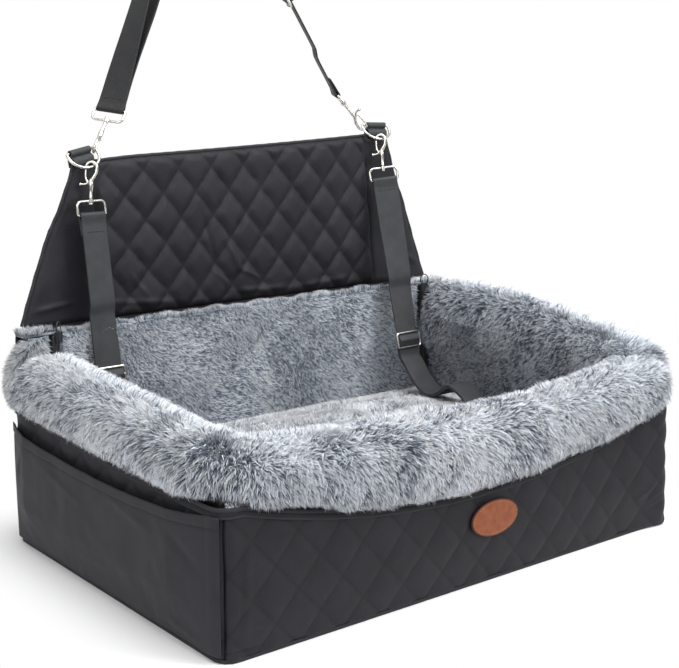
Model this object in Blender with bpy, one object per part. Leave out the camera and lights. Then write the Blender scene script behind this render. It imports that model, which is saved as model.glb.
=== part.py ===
"""Padded car seat for a dog: a fur-lined basket with a quilted back flap, two tethers and a hanging strap.

Metres. x runs along the width, y along the depth with the front at minus y, z up from the floor.
"""
from math import asin, atan2, cos, hypot, pi, radians, sin, tan

import bmesh
import bpy
import numpy as np

for old in list(bpy.data.objects):
    bpy.data.objects.remove(old)

# Basket
outerWidth = 0.570
outerDepth = 0.390
cornerHeight = 0.134
leftRise = 0.013
frontDip = 0.039
dipHalf = outerWidth / 2 - 0.023
sideDip = 0.008
rearHeight = 0.219
wallDrop = 0.003
cornerRadius = 0.016
bottomThickness = 0.003
coverThickness = 0.003
coverBulge = 0.003
foamThickness = 0.022
liningThickness = 0.006
gap = 0.0003
baseHeight = 0.056

# Fur rim
rimWidth = 0.068
rimOffset = 0.018
rimCornerRadius = 0.045
rimCornerSwell = 0.005
rimLift = 0.0032
rimFrontTop = 0.172
rimCornerTop = 0.190
rimLeftTop = 0.188
rimLeftRearTop = 0.212
rimRightTop = 0.238
rimRearEnd = outerDepth / 2 - 0.047
rearStripTop = 0.206

# Cushion, pocket and badge
cushionEdgeTop = 0.092
cushionCrown = 0.106
cushionChannel = 0.0022
channelPitch = 0.050
pocketGap = 0.0060
pocketSeam = 0.0008
pocketCloth = 0.0016
pocketRim = 0.1232
pocketSag = 0.0115
pocketBottom = 0.006
badgeWidth = 0.062
badgeHeight = 0.036
badgeThickness = 0.002
badgeX = 0.021
badgeZ = 0.064
zipFoot = 0.1035
zipTop = 0.2185
sliderZ = 0.2160
sliderStand = 0.0033
tapeHeight = 0.008
tapeThickness = 0.002

def unit(v):
    v = np.array(v, float)
    return v / np.linalg.norm(v)


# Back flap
flapY = outerDepth / 2 - 0.009
flapFoldZ = 0.2215
flapStart = 0.0015
flapHeight = 0.172
flapLean = 2.0
flapHalfBottom = outerWidth / 2 - 0.013
flapHalfTop = outerWidth / 2 - 0.069
flapCloth = 0.0012
flapCore = 0.0040
bindingRadius = 0.0022
stripThickness = 0.0036
# Rise of the flap's top edge to the right per metre, its sag between the loops, and how far its corners are drawn in
flapTilt = 0.034
flapSag = 0.0015
flapTuck = {-1: 0.010, 1: 0.0035}
# Loops at the corners: across, height above the flap's edge, turn about the upright and roll, in degrees
loopPlaces = {"left": (-0.1942, 0.0128, 12, 8), "right": (0.1974, 0.0130, -4, -4)}
loopWidth = 0.026
loopShift = 0.0014

# Webbing and hardware
webbingWidth = 0.030
webbingThickness = 0.0016
layerGap = 0.0004
wireRadius = 0.0014
ringRadius = 0.0016
barInner = 0.0315
ringInner = 0.0345
bailHeight = 0.0145
bailBar = 0.0490
bailCorner = 0.0052
hookRadius = 0.0056
strapHalfAngle = 25.9
strapTilt = radians(1.1)
strapLean = 11.0
apexRadius = 0.050

colours = {
    "quilt": (0.040, 0.040, 0.046),
    "black_cloth": (0.032, 0.032, 0.037),
    "foam": (0.60, 0.60, 0.58),
    "fur": (0.42, 0.46, 0.51),
    "leather": (0.52, 0.13, 0.045),
    "webbing": (0.045, 0.047, 0.050),
    "metal": (0.62, 0.60, 0.57),
    "zip": (0.012, 0.012, 0.014),
}


def addMesh(name, points, faces, colour, smooth=True, origin=(0, 0, 0)):
    """One closed body from points in place. The object's own origin goes to the given point."""
    start = np.array(origin, float)
    mesh = bpy.data.meshes.new(name)
    mesh.from_pydata([tuple(np.array(p, float) - start) for p in points], [], faces)
    work = bmesh.new()
    work.from_mesh(mesh)
    bmesh.ops.recalc_face_normals(work, faces=work.faces)
    work.to_mesh(mesh)
    work.free()
    if smooth:
        for polygon in mesh.polygons:
            polygon.use_smooth = True
        mesh.set_sharp_from_angle(angle=radians(40))
    material = bpy.data.materials.new(name)
    material.use_nodes = True
    shader = material.node_tree.nodes["Principled BSDF"]
    shader.inputs["Base Color"].default_value = (*colours[colour], 1)
    shader.inputs["Metallic"].default_value = 1.0 if colour == "metal" else 0.0
    shader.inputs["Roughness"].default_value = 0.25 if colour == "metal" else 0.8
    mesh.materials.append(material)
    part = bpy.data.objects.new(name, mesh)
    part.location = start
    bpy.context.scene.collection.objects.link(part)
    return part


def slabFaces(front, back):
    """Points and faces of a solid between two grids of the same size."""
    m, n = len(front), len(front[0])
    points = [p for row in front for p in row] + [p for row in back for p in row]
    faces = []

    def f(i, j):
        return i * n + j

    def b(i, j):
        return m * n + i * n + j

    for i in range(m - 1):
        for j in range(n - 1):
            faces.append((f(i, j), f(i + 1, j), f(i + 1, j + 1), f(i, j + 1)))
            faces.append((b(i, j), b(i, j + 1), b(i + 1, j + 1), b(i + 1, j)))
    for i in range(m - 1):
        faces.append((f(i, 0), b(i, 0), b(i + 1, 0), f(i + 1, 0)))
        faces.append((f(i, n - 1), f(i + 1, n - 1), b(i + 1, n - 1), b(i, n - 1)))
    for j in range(n - 1):
        faces.append((f(0, j), f(0, j + 1), b(0, j + 1), b(0, j)))
        faces.append((f(m - 1, j), b(m - 1, j), b(m - 1, j + 1), f(m - 1, j + 1)))
    return points, faces


def slab(name, front, back, colour, **more):
    return addMesh(name, *slabFaces(front, back), colour, **more)


def tubeFaces(rings, closed=False):
    """Points and faces of a sweep through rings of points."""
    k = len(rings[0])
    points = [p for ring in rings for p in ring]
    faces = []
    last = len(rings) if closed else len(rings) - 1
    for i in range(last):
        a, b = i * k, ((i + 1) % len(rings)) * k
        for j in range(k):
            faces.append((a + j, a + (j + 1) % k, b + (j + 1) % k, b + j))
    if not closed:
        faces.append(tuple(range(k)))
        faces.append(tuple(range((len(rings) - 1) * k, len(rings) * k)))
    return points, faces


def wireRings(path, radii, normal, sides=8, closed=False):
    """Round sections along a path that lies in the plane with this normal."""
    path = [np.array(p, float) for p in path]
    normal = np.array(normal, float)
    radii = radii if hasattr(radii, "__len__") else [radii] * len(path)
    rings = []
    for i, p in enumerate(path):
        before = path[i - 1] if i or closed else p
        after = path[(i + 1) % len(path)] if i < len(path) - 1 or closed else p
        tangent = (after - before) / np.linalg.norm(after - before)
        side = np.cross(tangent, normal)
        side = side / np.linalg.norm(side)
        up = np.cross(side, tangent)
        turn = [2 * pi * (j + 0.5) / sides for j in range(sides)]
        rings.append([p + radii[i] * (cos(a) * side + sin(a) * up) for a in turn])
    return rings


def arc(centre, radius, start, end, count):
    """Points of an arc in a plane, with angles in degrees."""
    angles = np.radians(np.linspace(start, end, count))
    return [(centre[0] + radius * cos(a), centre[1] + radius * sin(a)) for a in angles]


def belt(stops, step=30):
    """The flat path that runs straight between round stops (along, off, radius, turn).

    Turn is 1 for a stop on the path's left and -1 for one on its right.
    """
    directions = []
    for (a1, d1, r1, o1), (a2, d2, r2, o2) in zip(stops, stops[1:]):
        span = np.array([a2 - a1, d2 - d1])
        length = hypot(*span)
        bend = asin((o2 * r2 - o1 * r1) / length)
        directions.append(atan2(span[1], span[0]) - bend)
    path = []
    for i, (a, d, r, o) in enumerate(stops):
        first = directions[max(i - 1, 0)]
        last = directions[min(i, len(directions) - 1)]
        if r == 0:
            path.append((a, d))
            continue
        turn = last - first
        while o > 0 and turn < 0:
            turn += 2 * pi
        while o < 0 and turn > 0:
            turn -= 2 * pi
        count = max(2, int(abs(turn) / radians(step)) + 2)
        for t in np.linspace(0, 1, count):
            heading = first + turn * t
            path.append((a + o * r * sin(heading), d - o * r * cos(heading)))
    return path


# Plan of the walls


def ringPoint(side, t, inset):
    """A point of the walls' outline moved in by inset, with t from 0 to 1 along one side and its half corners."""
    halfX, halfY = outerWidth / 2 - inset, outerDepth / 2 - inset
    radius = max(cornerRadius - inset, 0.004)
    halfRun, other = (halfX, halfY) if side in ("front", "rear") else (halfY, halfX)
    straight = 2 * (halfRun - radius)
    curve = radius * pi / 4
    reach = t * (straight + 2 * curve) - curve
    if reach < 0:
        angle = reach / radius
        along, out = -halfRun + radius + radius * sin(angle), other - radius + radius * cos(angle)
    elif reach > straight:
        angle = (reach - straight) / radius
        along, out = halfRun - radius + radius * sin(angle), other - radius + radius * cos(angle)
    else:
        along, out = -halfRun + radius + reach, other
    if side == "front":
        return along, -out
    if side == "right":
        return out, along
    if side == "rear":
        return -along, out
    return -out, -along


def seamHeight(side, x, y):
    """Height of the wall's top seam."""
    if side == "front":
        return cornerHeight - frontDip * (1 - min(abs(x) / dipHalf, 1) ** 2)
    if side == "rear":
        return rearHeight
    # the left wall's top rises towards the rear
    back = min(max(0.5 + y / outerDepth, 0), 1)
    rise = leftRise * back * (2 - back) if side == "left" else 0
    return cornerHeight - sideDip * (1 - min(abs(y) / (outerDepth / 2), 1) ** 2) + rise


def sideSteps(side, count):
    """Values of t with extra ones round the half corners."""
    ends = np.array([0.0, 0.012, 0.026])
    middle = np.linspace(0.05, 0.95, count)
    return np.concatenate([ends, middle, 1 - ends[::-1]])


def wallStrip(name, side, inset, thickness, bottom, topDrop, colour, count=9, rows=2, bulge=0.0, trim=0.0006):
    """A layer of one wall between two insets, from the bottom height up to the seam less topDrop."""
    front, back = [], []
    for t in sideSteps(side, count):
        t = trim + t * (1 - 2 * trim)
        outerRow, innerRow = [], []
        x, y = ringPoint(side, t, inset)
        top = seamHeight(side, x, y) - topDrop
        for v in np.linspace(0, 1, rows):
            swell = bulge * sin(pi * v) * min(1, 8 * t, 8 * (1 - t))
            z = bottom + v * (top - bottom)
            outerRow.append((*ringPoint(side, t, inset - swell), z))
            innerRow.append((*ringPoint(side, t, inset + thickness), z))
        front.append(outerRow)
        back.append(innerRow)
    return slab(name, front, back, colour)


foamInset = coverThickness + gap
liningInset = foamInset + foamThickness + gap
innerInset = liningInset + liningThickness

outline = []
for side in ("front", "right", "rear", "left"):
    outline += [ringPoint(side, t, 0) for t in sideSteps(side, 3)[:-1]]
bottomRings = [[(x, y, z) for x, y in outline] for z in (0, bottomThickness)]
addMesh("bottom_panel", *tubeFaces(bottomRings), "black_cloth", smooth=False)

foamOutline = []
for side in ("front", "right", "rear", "left"):
    foamOutline += [ringPoint(side, t, foamInset + foamThickness + gap) for t in (0.02, 0.5, 0.98)]
baseRings = [[(x, y, z) for x, y in foamOutline] for z in (bottomThickness + gap, baseHeight)]
addMesh("base_foam", *tubeFaces(baseRings), "foam", smooth=False)

for side in ("front", "left", "right", "rear"):
    lowest = bottomThickness + gap
    wallStrip(f"{side}_cover", side, 0, coverThickness, lowest, 0, "quilt", 13, 5, coverBulge, 0.0005)
    wallStrip(f"{side}_foam", side, foamInset, foamThickness, lowest, wallDrop, "foam", 13, 2, 0, 0.02)
    if side != "rear":
        wallStrip(f"{side}_lining", side, liningInset, liningThickness, baseHeight + gap, wallDrop, "fur", 13, 2, 0, 0.004)


# Rear lining: a plush panel that thickens towards its top
def rearLining():
    front, back = [], []
    halfWidth = outerWidth / 2 - liningInset - liningThickness - gap
    for x in np.linspace(-halfWidth, halfWidth, 13):
        outerRow, innerRow = [], []
        for v in np.linspace(0, 1, 5):
            z = baseHeight + gap + v * (rearHeight - baseHeight - gap)
            swell = 0.004 * sin(pi * min(v, 0.96)) * (1 - (x / halfWidth) ** 4)
            outerRow.append((x, outerDepth / 2 - liningInset, z))
            innerRow.append((x, outerDepth / 2 - innerInset - swell, z))
        front.append(outerRow)
        back.append(innerRow)
    slab("rear_lining", front, back, "fur")


rearLining()


def rimPath(t, side):
    """Centre of the fur rim in plan."""
    halfX, halfY = outerWidth / 2 - rimOffset, outerDepth / 2 - rimOffset
    radius = rimCornerRadius
    if side == "front":
        straight = 2 * (halfX - radius)
        curve = radius * pi / 4
        reach = t * (straight + 2 * curve) - curve
        if reach < 0:
            angle = reach / radius
            return -halfX + radius + radius * sin(angle), -halfY + radius - radius * cos(angle)
        if reach > straight:
            angle = (reach - straight) / radius
            return halfX - radius + radius * sin(angle), -halfY + radius - radius * cos(angle)
        return -halfX + radius + reach, -halfY
    sign = -1 if side == "left" else 1
    curve = radius * pi / 4
    straight = rimRearEnd + halfY - radius
    reach = t * (straight + curve)
    if reach < curve:
        angle = pi / 4 + reach / radius
        return sign * (halfX - radius + radius * sin(angle)), -halfY + radius - radius * cos(angle)
    return sign * halfX, -halfY + radius + reach - curve


def rimTopHeight(side, x, y):
    if side == "front":
        bow = abs(x) / (outerWidth / 2)
        return rimFrontTop + (rimCornerTop - rimFrontTop) * bow**2
    run = (y + outerDepth / 2) / outerDepth
    if side == "left":
        return rimCornerTop + (rimLeftTop - rimCornerTop) * min(run * 4, 1) + (rimLeftRearTop - rimLeftTop) * run**3
    return rimCornerTop + (rimRightTop - rimCornerTop) * sin(pi / 2 * min(run * 1.25, 1))


def bolster(name, path, heights, halfWidths, colour="fur", sides=14, ways=None):
    """A soft roll along a plan path, with its lower and upper height at each point."""
    rings = []
    for i, (x, y) in enumerate(path):
        ahead = np.array(path[min(i + 1, len(path) - 1)]) - np.array(path[max(i - 1, 0)])
        ahead = ways[i] if ways else ahead
        ahead = ahead / np.linalg.norm(ahead)
        across = np.array([ahead[1], -ahead[0]])
        low, high = heights[i]
        ring = []
        for j in range(sides):
            a = 2 * pi * (j + 0.5) / sides
            c, s = cos(a), sin(a)
            square = 0.75 if s > 0 else 0.45
            off = halfWidths[i] * np.sign(c) * abs(c) ** square
            z = (low + high) / 2 + (high - low) / 2 * np.sign(s) * abs(s) ** square
            ring.append((x + off * across[0], y + off * across[1], z))
        rings.append(ring)
    return addMesh(name, *tubeFaces(rings), colour)


def makeRim(side, count):
    """One length of the rim, with close steps where it turns the corner."""
    near, turned = (0.0012, 0.069) if side == "front" else (0.0024, 0.112)
    corner = np.linspace(near, turned, 4)
    if side == "front":
        steps = np.concatenate([corner, np.linspace(turned, 1 - turned, count)[1:-1], 1 - corner[::-1]])
    else:
        steps = np.concatenate([corner, np.linspace(turned, 1, count)[1:]])
    path = [rimPath(t, side) for t in steps]
    ways = [np.array(rimPath(t + 0.0005, side)) - np.array(rimPath(t - 0.0005, side)) for t in steps]
    heights = [(seamHeight(side, x, y) + rimLift, rimTopHeight(side, x, y)) for x, y in path]
    halfWidths = []
    for x, y in path:
        depthX = max(0, abs(x) - (outerWidth / 2 - rimOffset - rimCornerRadius)) / rimCornerRadius
        depthY = max(0, -y - (outerDepth / 2 - rimOffset - rimCornerRadius)) / rimCornerRadius
        halfWidths.append(rimWidth / 2 + rimCornerSwell * min(1, 2 * depthX * depthY))
    bolster(f"rim_{side}", path, heights, halfWidths, ways=ways)


makeRim("front", 17)
makeRim("left", 10)
makeRim("right", 10)

# Fur strips that turn round the rear corners, one on each side
for name, sign in (("rear_rim_left", -1), ("rear_rim_right", 1)):
    stripX = outerWidth / 2 - 0.006
    stripPath = [(sign * stripX, outerDepth / 2 - back) for back in (0.0395, 0.032, 0.024, 0.016, 0.0082)]
    if sign > 0:
        stripPath = stripPath[::-1]
    stripHeights = [(seamHeight(name.removeprefix("rear_rim_"), x, y) + gap, rearStripTop) for x, y in stripPath]
    bolster(name, stripPath, stripHeights, [0.0070, 0.0085, 0.0090, 0.0085, 0.0070], sides=10)


# Seat cushion with a crown, drawn-in sides and shallow channels
def cushionTop(x, y, halfX, halfY):
    u, v = abs(x) / halfX, abs(y) / halfY
    crown = cushionEdgeTop + (cushionCrown - cushionEdgeTop) * (1 - u**4) * (1 - v**4)
    channel = cushionChannel * (0.5 + 0.5 * cos(2 * pi * y / channelPitch)) ** 6 * (1 - u**6)
    return crown - channel


def seatCushion():
    halfX, halfY = outerWidth / 2 - innerInset - 0.004, outerDepth / 2 - innerInset - 0.006
    upper, lower = [], []
    for x in np.linspace(-1, 1, 15):
        upperRow, lowerRow = [], []
        for y in np.linspace(-1, 1, 27):
            px, py = halfX * x, halfY * y
            pull = 0.985
            upperRow.append((px * pull, py * pull, cushionTop(px, py, halfX, halfY)))
            lowerRow.append((px * pull, py * pull, baseHeight + 2 * gap))
        upper.append(upperRow)
        lower.append(lowerRow)
    return slab("seat_cushion", upper, lower, "fur")


seatCushion()


# Pocket on the left wall: a cloth panel that stands off the wall at its hem
def pocketPoint(t, v, depth):
    x, y = ringPoint("left", t, 0)
    hem = pocketRim - pocketSag * sin(pi * min(max((t - 0.04) / 0.92, 0), 1)) ** 0.8
    z = pocketBottom + v * (hem - pocketBottom)
    wallBulge = coverBulge * sin(pi * min((z - bottomThickness) / (cornerHeight - sideDip), 1)) * min(1, 8 * t, 8 * (1 - t))
    sideways = min(1, (t - 0.035) / 0.10, (0.965 - t) / 0.10) if 0.035 < t < 0.965 else 0
    stand = pocketSeam + wallBulge + pocketGap * sideways * min(1, v / 0.35)
    px, py = ringPoint("left", t, -(stand + depth))
    return px, py, z


steps = np.concatenate([[0.035, 0.06, 0.09], np.linspace(0.14, 0.86, 9), [0.91, 0.94, 0.965]])
levels = np.array([0, 0.12, 0.35, 0.6, 0.8, 1.0])
slab(
    "left_pocket",
    [[pocketPoint(t, v, pocketCloth) for v in levels] for t in steps],
    [[pocketPoint(t, v, 0) for v in levels] for t in steps],
    "black_cloth",
)

# Oval badge on the front wall
badgeY = -outerDepth / 2 - coverBulge - gap
badgeRings = []
for depth, shrink in ((0, 0), (0.0014, 0), (badgeThickness, 0.0008)):
    ring = []
    for i in range(28):
        a = 2 * pi * i / 28
        reachX = (badgeWidth / 2 - shrink) * cos(a)
        reachZ = (badgeHeight / 2 - shrink) * sin(a)
        ring.append((badgeX + reachX, badgeY - depth, badgeZ + reachZ))
    badgeRings.append(ring)
addMesh("badge", *tubeFaces(badgeRings), "leather")


# Zip tape below the fur, round the front and both sides
def seamTape():
    track = []
    for side, first, last in (("left", 0.10, 1.0), ("front", 0.0, 1.0), ("right", 0.0, 0.90)):
        for t in sideSteps(side, 13):
            if first <= t <= last:
                track.append((side, t))
    front, back = [], []
    for k, (side, t) in enumerate(track):
        if k and t == 0.0:
            continue
        x, y = ringPoint(side, t, 0)
        top = seamHeight(side, x, y) - 0.0004
        low = top - tapeHeight
        swell = 0.0010
        front.append([(*ringPoint(side, t, -gap - swell - tapeThickness), z) for z in (low, top)])
        back.append([(*ringPoint(side, t, -gap - swell), z) for z in (low, top)])
    return slab("rim_zip_tape", front, back, "zip")


seamTape()


# Zip tape that climbs each rear corner inside, between the side lining and the rear lining
def cornerZip(name, sign):
    centreX = outerWidth / 2 - innerInset - 0.0026
    centreY = outerDepth / 2 - innerInset - 0.0046
    front, back = [], []
    ahead = np.array([-sign * 0.64, -0.77])
    across = np.array([ahead[1], -ahead[0]])
    for z in np.linspace(zipFoot, zipTop, 5):
        for rows, depth in ((front, 0.0008), (back, -0.0008)):
            rows.append(
                [
                    (
                        sign * centreX + ahead[0] * depth + across[0] * w,
                        centreY + ahead[1] * depth + across[1] * w,
                        z,
                    )
                    for w in (-0.0022, 0.0022)
                ]
            )
    slab(name, front, back, "zip")
    return centreX, centreY, ahead


def joined(name, pieces, colour, cut=None, origin=(0, 0, 0)):
    """Closed meshes joined into one body, and the last one given as cut taken out of it."""
    made = []
    for k, (points, faces) in enumerate(pieces):
        helper = addMesh(f"{name}_helper{k}", points, faces, colour)
        made.append(helper)
    base = made[0]
    tools = [(helper, "UNION") for helper in made[1:]]
    if cut:
        cutter = addMesh(f"{name}_cut", *cut, colour)
        made.append(cutter)
        tools.append((cutter, "DIFFERENCE"))
    for helper, operation in tools:
        modifier = base.modifiers.new(operation, "BOOLEAN")
        modifier.operation = operation
        modifier.object = helper
        modifier.solver = "EXACT"
    bpy.context.view_layer.update()
    mesh = base.evaluated_get(bpy.context.evaluated_depsgraph_get()).to_mesh()
    points = [tuple(v.co) for v in mesh.vertices]
    faces = [tuple(p.vertices) for p in mesh.polygons]
    for helper in made:
        bpy.data.objects.remove(helper)
    return points, faces


def placed(shape, place):
    points, faces = shape
    return [place(p) for p in points], faces


def roundRing(centre, axisA, axisB, radius, wire, count=12, sides=6):
    """A round wire loop in the plane of two axes."""
    centre, axisA, axisB = (np.array(v, float) for v in (centre, axisA, axisB))
    path = []
    for i in range(count):
        a = 2 * pi * i / count
        path.append(centre + radius * (cos(a) * axisA + sin(a) * axisB))
    return tubeFaces(wireRings(path, wire, np.cross(axisA, axisB), sides, True), True)


def boxFaces(centre, half, axes):
    centre = np.array(centre, float)
    axes = [np.array(axis, float) for axis in axes]
    rings = []
    for s in (-1, 1):
        corners = ((-1, -1), (1, -1), (1, 1), (-1, 1))
        base = centre + s * half[2] * axes[2]
        rings.append([base + a * half[0] * axes[0] + b * half[1] * axes[1] for a, b in corners])
    return tubeFaces(rings)


for name, sign in (("left", -1), ("right", 1)):
    zipX, zipY, ahead = cornerZip(f"corner_zip_{name}", sign)
    across = np.array([ahead[1], -ahead[0], 0])
    ahead = np.array([*ahead, 0])
    middle = np.array([sign * zipX, zipY, sliderZ]) + ahead * sliderStand
    up = np.array([0, 0, 1.0])
    block = boxFaces(middle, (0.0034, 0.0022, 0.0048), (across, ahead, up))
    pull = roundRing(middle + up * 0.0095, across, up, 0.0052, 0.0009)
    addMesh(f"zip_slider_{name}", *joined("zip", [block, pull], "metal"), "metal", origin=middle)


# Back flap
lean = radians(flapLean)
flapUp = np.array([0, sin(lean), cos(lean)])
flapOut = np.array([0, -cos(lean), sin(lean)])
flapFoot = np.array([0, flapY, flapFoldZ])
# The flap folds forward about its lower front edge
flapHinge = flapFoot + flapUp * flapStart + flapOut * (flapCore / 2 + gap + flapCloth)


def flapHalf(v):
    return flapHalfBottom + (flapHalfTop - flapHalfBottom) * (v - flapStart) / flapHeight


def flapPoint(u, v, w):
    """A point of the flap: u from -1 to 1 across, v up from the fold, w out to the front."""
    share = v / flapHeight
    tuck = flapTuck[1 if u > 0 else -1] * share**1.6
    x = u * (flapHalf(v) - tuck)
    rise = (flapTilt * x - flapSag * (1 - u * u)) * share
    wave = 0.0025 * sin(pi * share) * cos(2.2 * u + 0.4)
    # The strap and the tethers twist the corners a little and round them
    for place, above, turn, roll in loopPlaces.values():
        near = min(max((v - 0.095) / 0.070, 0), 1) ** 2 / (1 + ((x - place) / 0.032) ** 4)
        wave -= near * tan(radians(turn)) * (x - place)
    rise -= 0.0022 * min(max((-x - 0.120) / 0.055, 0), 1) ** 2 * share + 0.003 * max(0, (abs(x) - 0.192) / 0.014) ** 2 * max(0, share - 0.6) / 0.4
    return flapFoot + np.array([x, 0, 0]) + flapUp * (v + rise) + flapOut * (w + wave)


def flapLayer(name, low, high, colour):
    across = [-1, -0.94, -0.87, -0.8, -0.72, -0.6, -0.4, -0.2, 0, 0.2, 0.4, 0.6, 0.72, 0.8, 0.87, 0.94, 1]
    heights = np.linspace(flapStart, flapStart + flapHeight, 9)
    front = [[flapPoint(u, v, high) for v in heights] for u in across]
    back = [[flapPoint(u, v, low) for v in heights] for u in across]
    slab(name, front, back, colour, origin=flapHinge)


# Cloth strip that joins the rear wall to the flap along the fold
stripHalf = flapHalfBottom - 0.002
stripZ = (rearHeight + gap, flapFoldZ + flapStart - gap)
stripFront = [[(x, flapY - stripThickness / 2, z) for z in stripZ] for x in np.linspace(-stripHalf, stripHalf, 9)]
stripBack = [[(x, y + stripThickness, z) for x, y, z in row] for row in stripFront]
slab("fold_strip", stripFront, stripBack, "black_cloth")

half = flapCore / 2
flapLayer("flap_core", -half, half, "foam")
flapLayer("flap_front", half + gap, half + gap + flapCloth, "quilt")
flapLayer("flap_back", -half - gap - flapCloth, -half - gap, "black_cloth")

bindingTrack = [(-1, v) for v in np.linspace(flapStart + 0.002, flapStart + flapHeight, 8)]
bindingTrack += [(u, flapStart + flapHeight) for u in np.linspace(-0.94, 0.94, 23)]
bindingTrack += [(1, v) for v in np.linspace(flapStart + flapHeight, flapStart + 0.002, 8)]
bindingPath = []
outward = bindingRadius + 0.0005
for u, v in bindingTrack:
    point = flapPoint(u, v, 0)
    if abs(u) == 1:
        point = point + np.array([u * outward, 0, 0])
    if v == flapStart + flapHeight:
        point = point + flapUp * outward
    bindingPath.append(point)
bindingNormal = flapOut
addMesh("flap_binding", *tubeFaces(wireRings(bindingPath, bindingRadius, bindingNormal, 6)), "black_cloth", origin=flapHinge)


# Ribbons: a flat path in (along, off) laid on a guide line in space
def ribbonFaces(path, guide, width=webbingWidth, thickness=webbingThickness):
    path = [np.array(p, float) for p in path]
    rings = []
    for i, p in enumerate(path):
        before, after = path[max(i - 1, 0)], path[min(i + 1, len(path) - 1)]
        d1 = (p - before) / max(np.linalg.norm(p - before), 1e-9) if i else None
        d2 = (after - p) / max(np.linalg.norm(after - p), 1e-9) if i < len(path) - 1 else None
        d1 = d2 if d1 is None else d1
        d2 = d1 if d2 is None else d2
        heading = (d1 + d2) / np.linalg.norm(d1 + d2)
        normal = np.array([-heading[1], heading[0]])
        reach = thickness / 2 / max(abs(np.dot(normal, [-d1[1], d1[0]])), 0.5)
        left, right = p + normal * reach, p - normal * reach
        rings.append(
            [guide(*left, -width / 2), guide(*left, width / 2), guide(*right, width / 2), guide(*right, -width / 2)]
        )
    return tubeFaces(rings)


def guideLine(points, widths, count=200):
    """A smooth guide through points in space, with the width direction given at each. Returns guide(s, d, w)."""
    points = np.array(points, float)
    widths = np.array(widths, float)
    fine = []
    wide = []
    for i in range(len(points) - 1):
        p0, p1, p2, p3 = (points[min(max(k, 0), len(points) - 1)] for k in (i - 1, i, i + 1, i + 2))
        for t in np.linspace(0, 1, count // (len(points) - 1), endpoint=i == len(points) - 2):
            a = 2 * p1
            b = (p2 - p0) * t
            c = (2 * p0 - 5 * p1 + 4 * p2 - p3) * t * t
            e = (3 * p1 - p0 - 3 * p2 + p3) * t**3
            fine.append((a + b + c + e) / 2)
            wide.append(widths[i] * (1 - t) + widths[i + 1] * t)
    fine, wide = np.array(fine), np.array(wide)
    run = np.concatenate([[0], np.cumsum(np.linalg.norm(np.diff(fine, axis=0), axis=1))])
    tangents = np.gradient(fine, run, axis=0)

    def guide(s, d, w):
        inside = min(max(s, 0), run[-1])
        centre = np.array([np.interp(inside, run, fine[:, k]) for k in range(3)])
        tangent = np.array([np.interp(inside, run, tangents[:, k]) for k in range(3)])
        tangent = tangent / np.linalg.norm(tangent)
        across = np.array([np.interp(inside, run, wide[:, k]) for k in range(3)])
        across = across - tangent * np.dot(across, tangent)
        across = across / np.linalg.norm(across)
        normal = np.cross(tangent, across)
        return centre + tangent * (s - inside) + normal * d + across * w

    guide.length = run[-1]
    return guide


def spaced(path, step=0.008):
    """The same path with extra points on its long runs, so that it follows a bent guide."""
    full = [path[0]]
    for p in path[1:]:
        q = full[-1]
        count = int(hypot(p[0] - q[0], p[1] - q[1]) / step) + 1
        for k in range(1, count + 1):
            full.append((q[0] + (p[0] - q[0]) * k / count, q[1] + (p[1] - q[1]) * k / count))
    return full


halfStack = (webbingThickness + layerGap) / 2
wrap = wireRadius + 0.00035 + webbingThickness / 2
sliderBar = 0.0087
inFront = wireRadius + 0.0003 + webbingThickness + 0.00035 + webbingThickness / 2
innerWrap = wireRadius + 0.0003 + webbingThickness / 2


def strapStops(sliderAt, end, tail=0.021):
    """Webbing from a sewn fold on one bar, through a slider, round the bar at the end and back to the slider."""
    outer = innerWrap + webbingThickness + layerGap
    crossing = inFront + 0.0002
    return [
        (tail, -halfStack, 0, 1),
        (0, 0, wrap, -1),
        (0.008, halfStack, 0, 1),
        (sliderAt - 0.020, halfStack, 0, 1),
        (sliderAt - sliderBar, 0, innerWrap, 1),
        (sliderAt, 0, crossing, -1),
        (sliderAt + sliderBar, 0, innerWrap, 1),
        (sliderAt + 0.022, halfStack, 0, 1),
        (end - 0.008, halfStack, 0, 1),
        (end, 0, wrap, -1),
        (end - 0.008, -halfStack, 0, 1),
        (sliderAt + 0.024, -halfStack, 0, 1),
        (sliderAt + sliderBar, 0, outer, -1),
        (sliderAt, 0, innerWrap, -1),
        (sliderAt + 0.003, innerWrap * 0.92, 0, 1),
    ]


# Hardware in its own frame: x across, z towards the hook's top, y through it
def loopPath(halfX, low, high, radius, topRadius, count=3):
    corners = ((halfX - topRadius, high - topRadius, 90, 0, topRadius), (halfX - radius, low + radius, 0, -90, radius))
    corners += ((-halfX + radius, low + radius, -90, -180, radius), (-halfX + topRadius, high - topRadius, 180, 90, topRadius))
    return [p for cx, cz, a, b, r in corners for p in arc((cx, cz), r, a, b, count)]


def wireLoop(halfX, low, high, radius, topRadius, wire, sides=6):
    path = [(x, 0, z) for x, z in loopPath(halfX, low, high, radius, topRadius)]
    return tubeFaces(wireRings(path, wire, (0, 1, 0), sides, True), True)


def post(x, z0, z1, radius, sides=8):
    rings = [[(x + radius * cos(2 * pi * j / sides), radius * sin(2 * pi * j / sides), z) for j in range(sides)] for z in (z0, z1)]
    return tubeFaces(rings)


def bailShape():
    top = -bailBar + bailHeight
    loop = wireLoop(barInner / 2 + wireRadius, -bailBar, top, 0.0025, bailCorner, wireRadius)
    boss = post(0, top - 0.0017, top + 0.0017, 0.0034)
    return joined("bail", [loop, boss], "metal", post(0, top - 0.004, top + 0.004, 0.0018))


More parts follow.
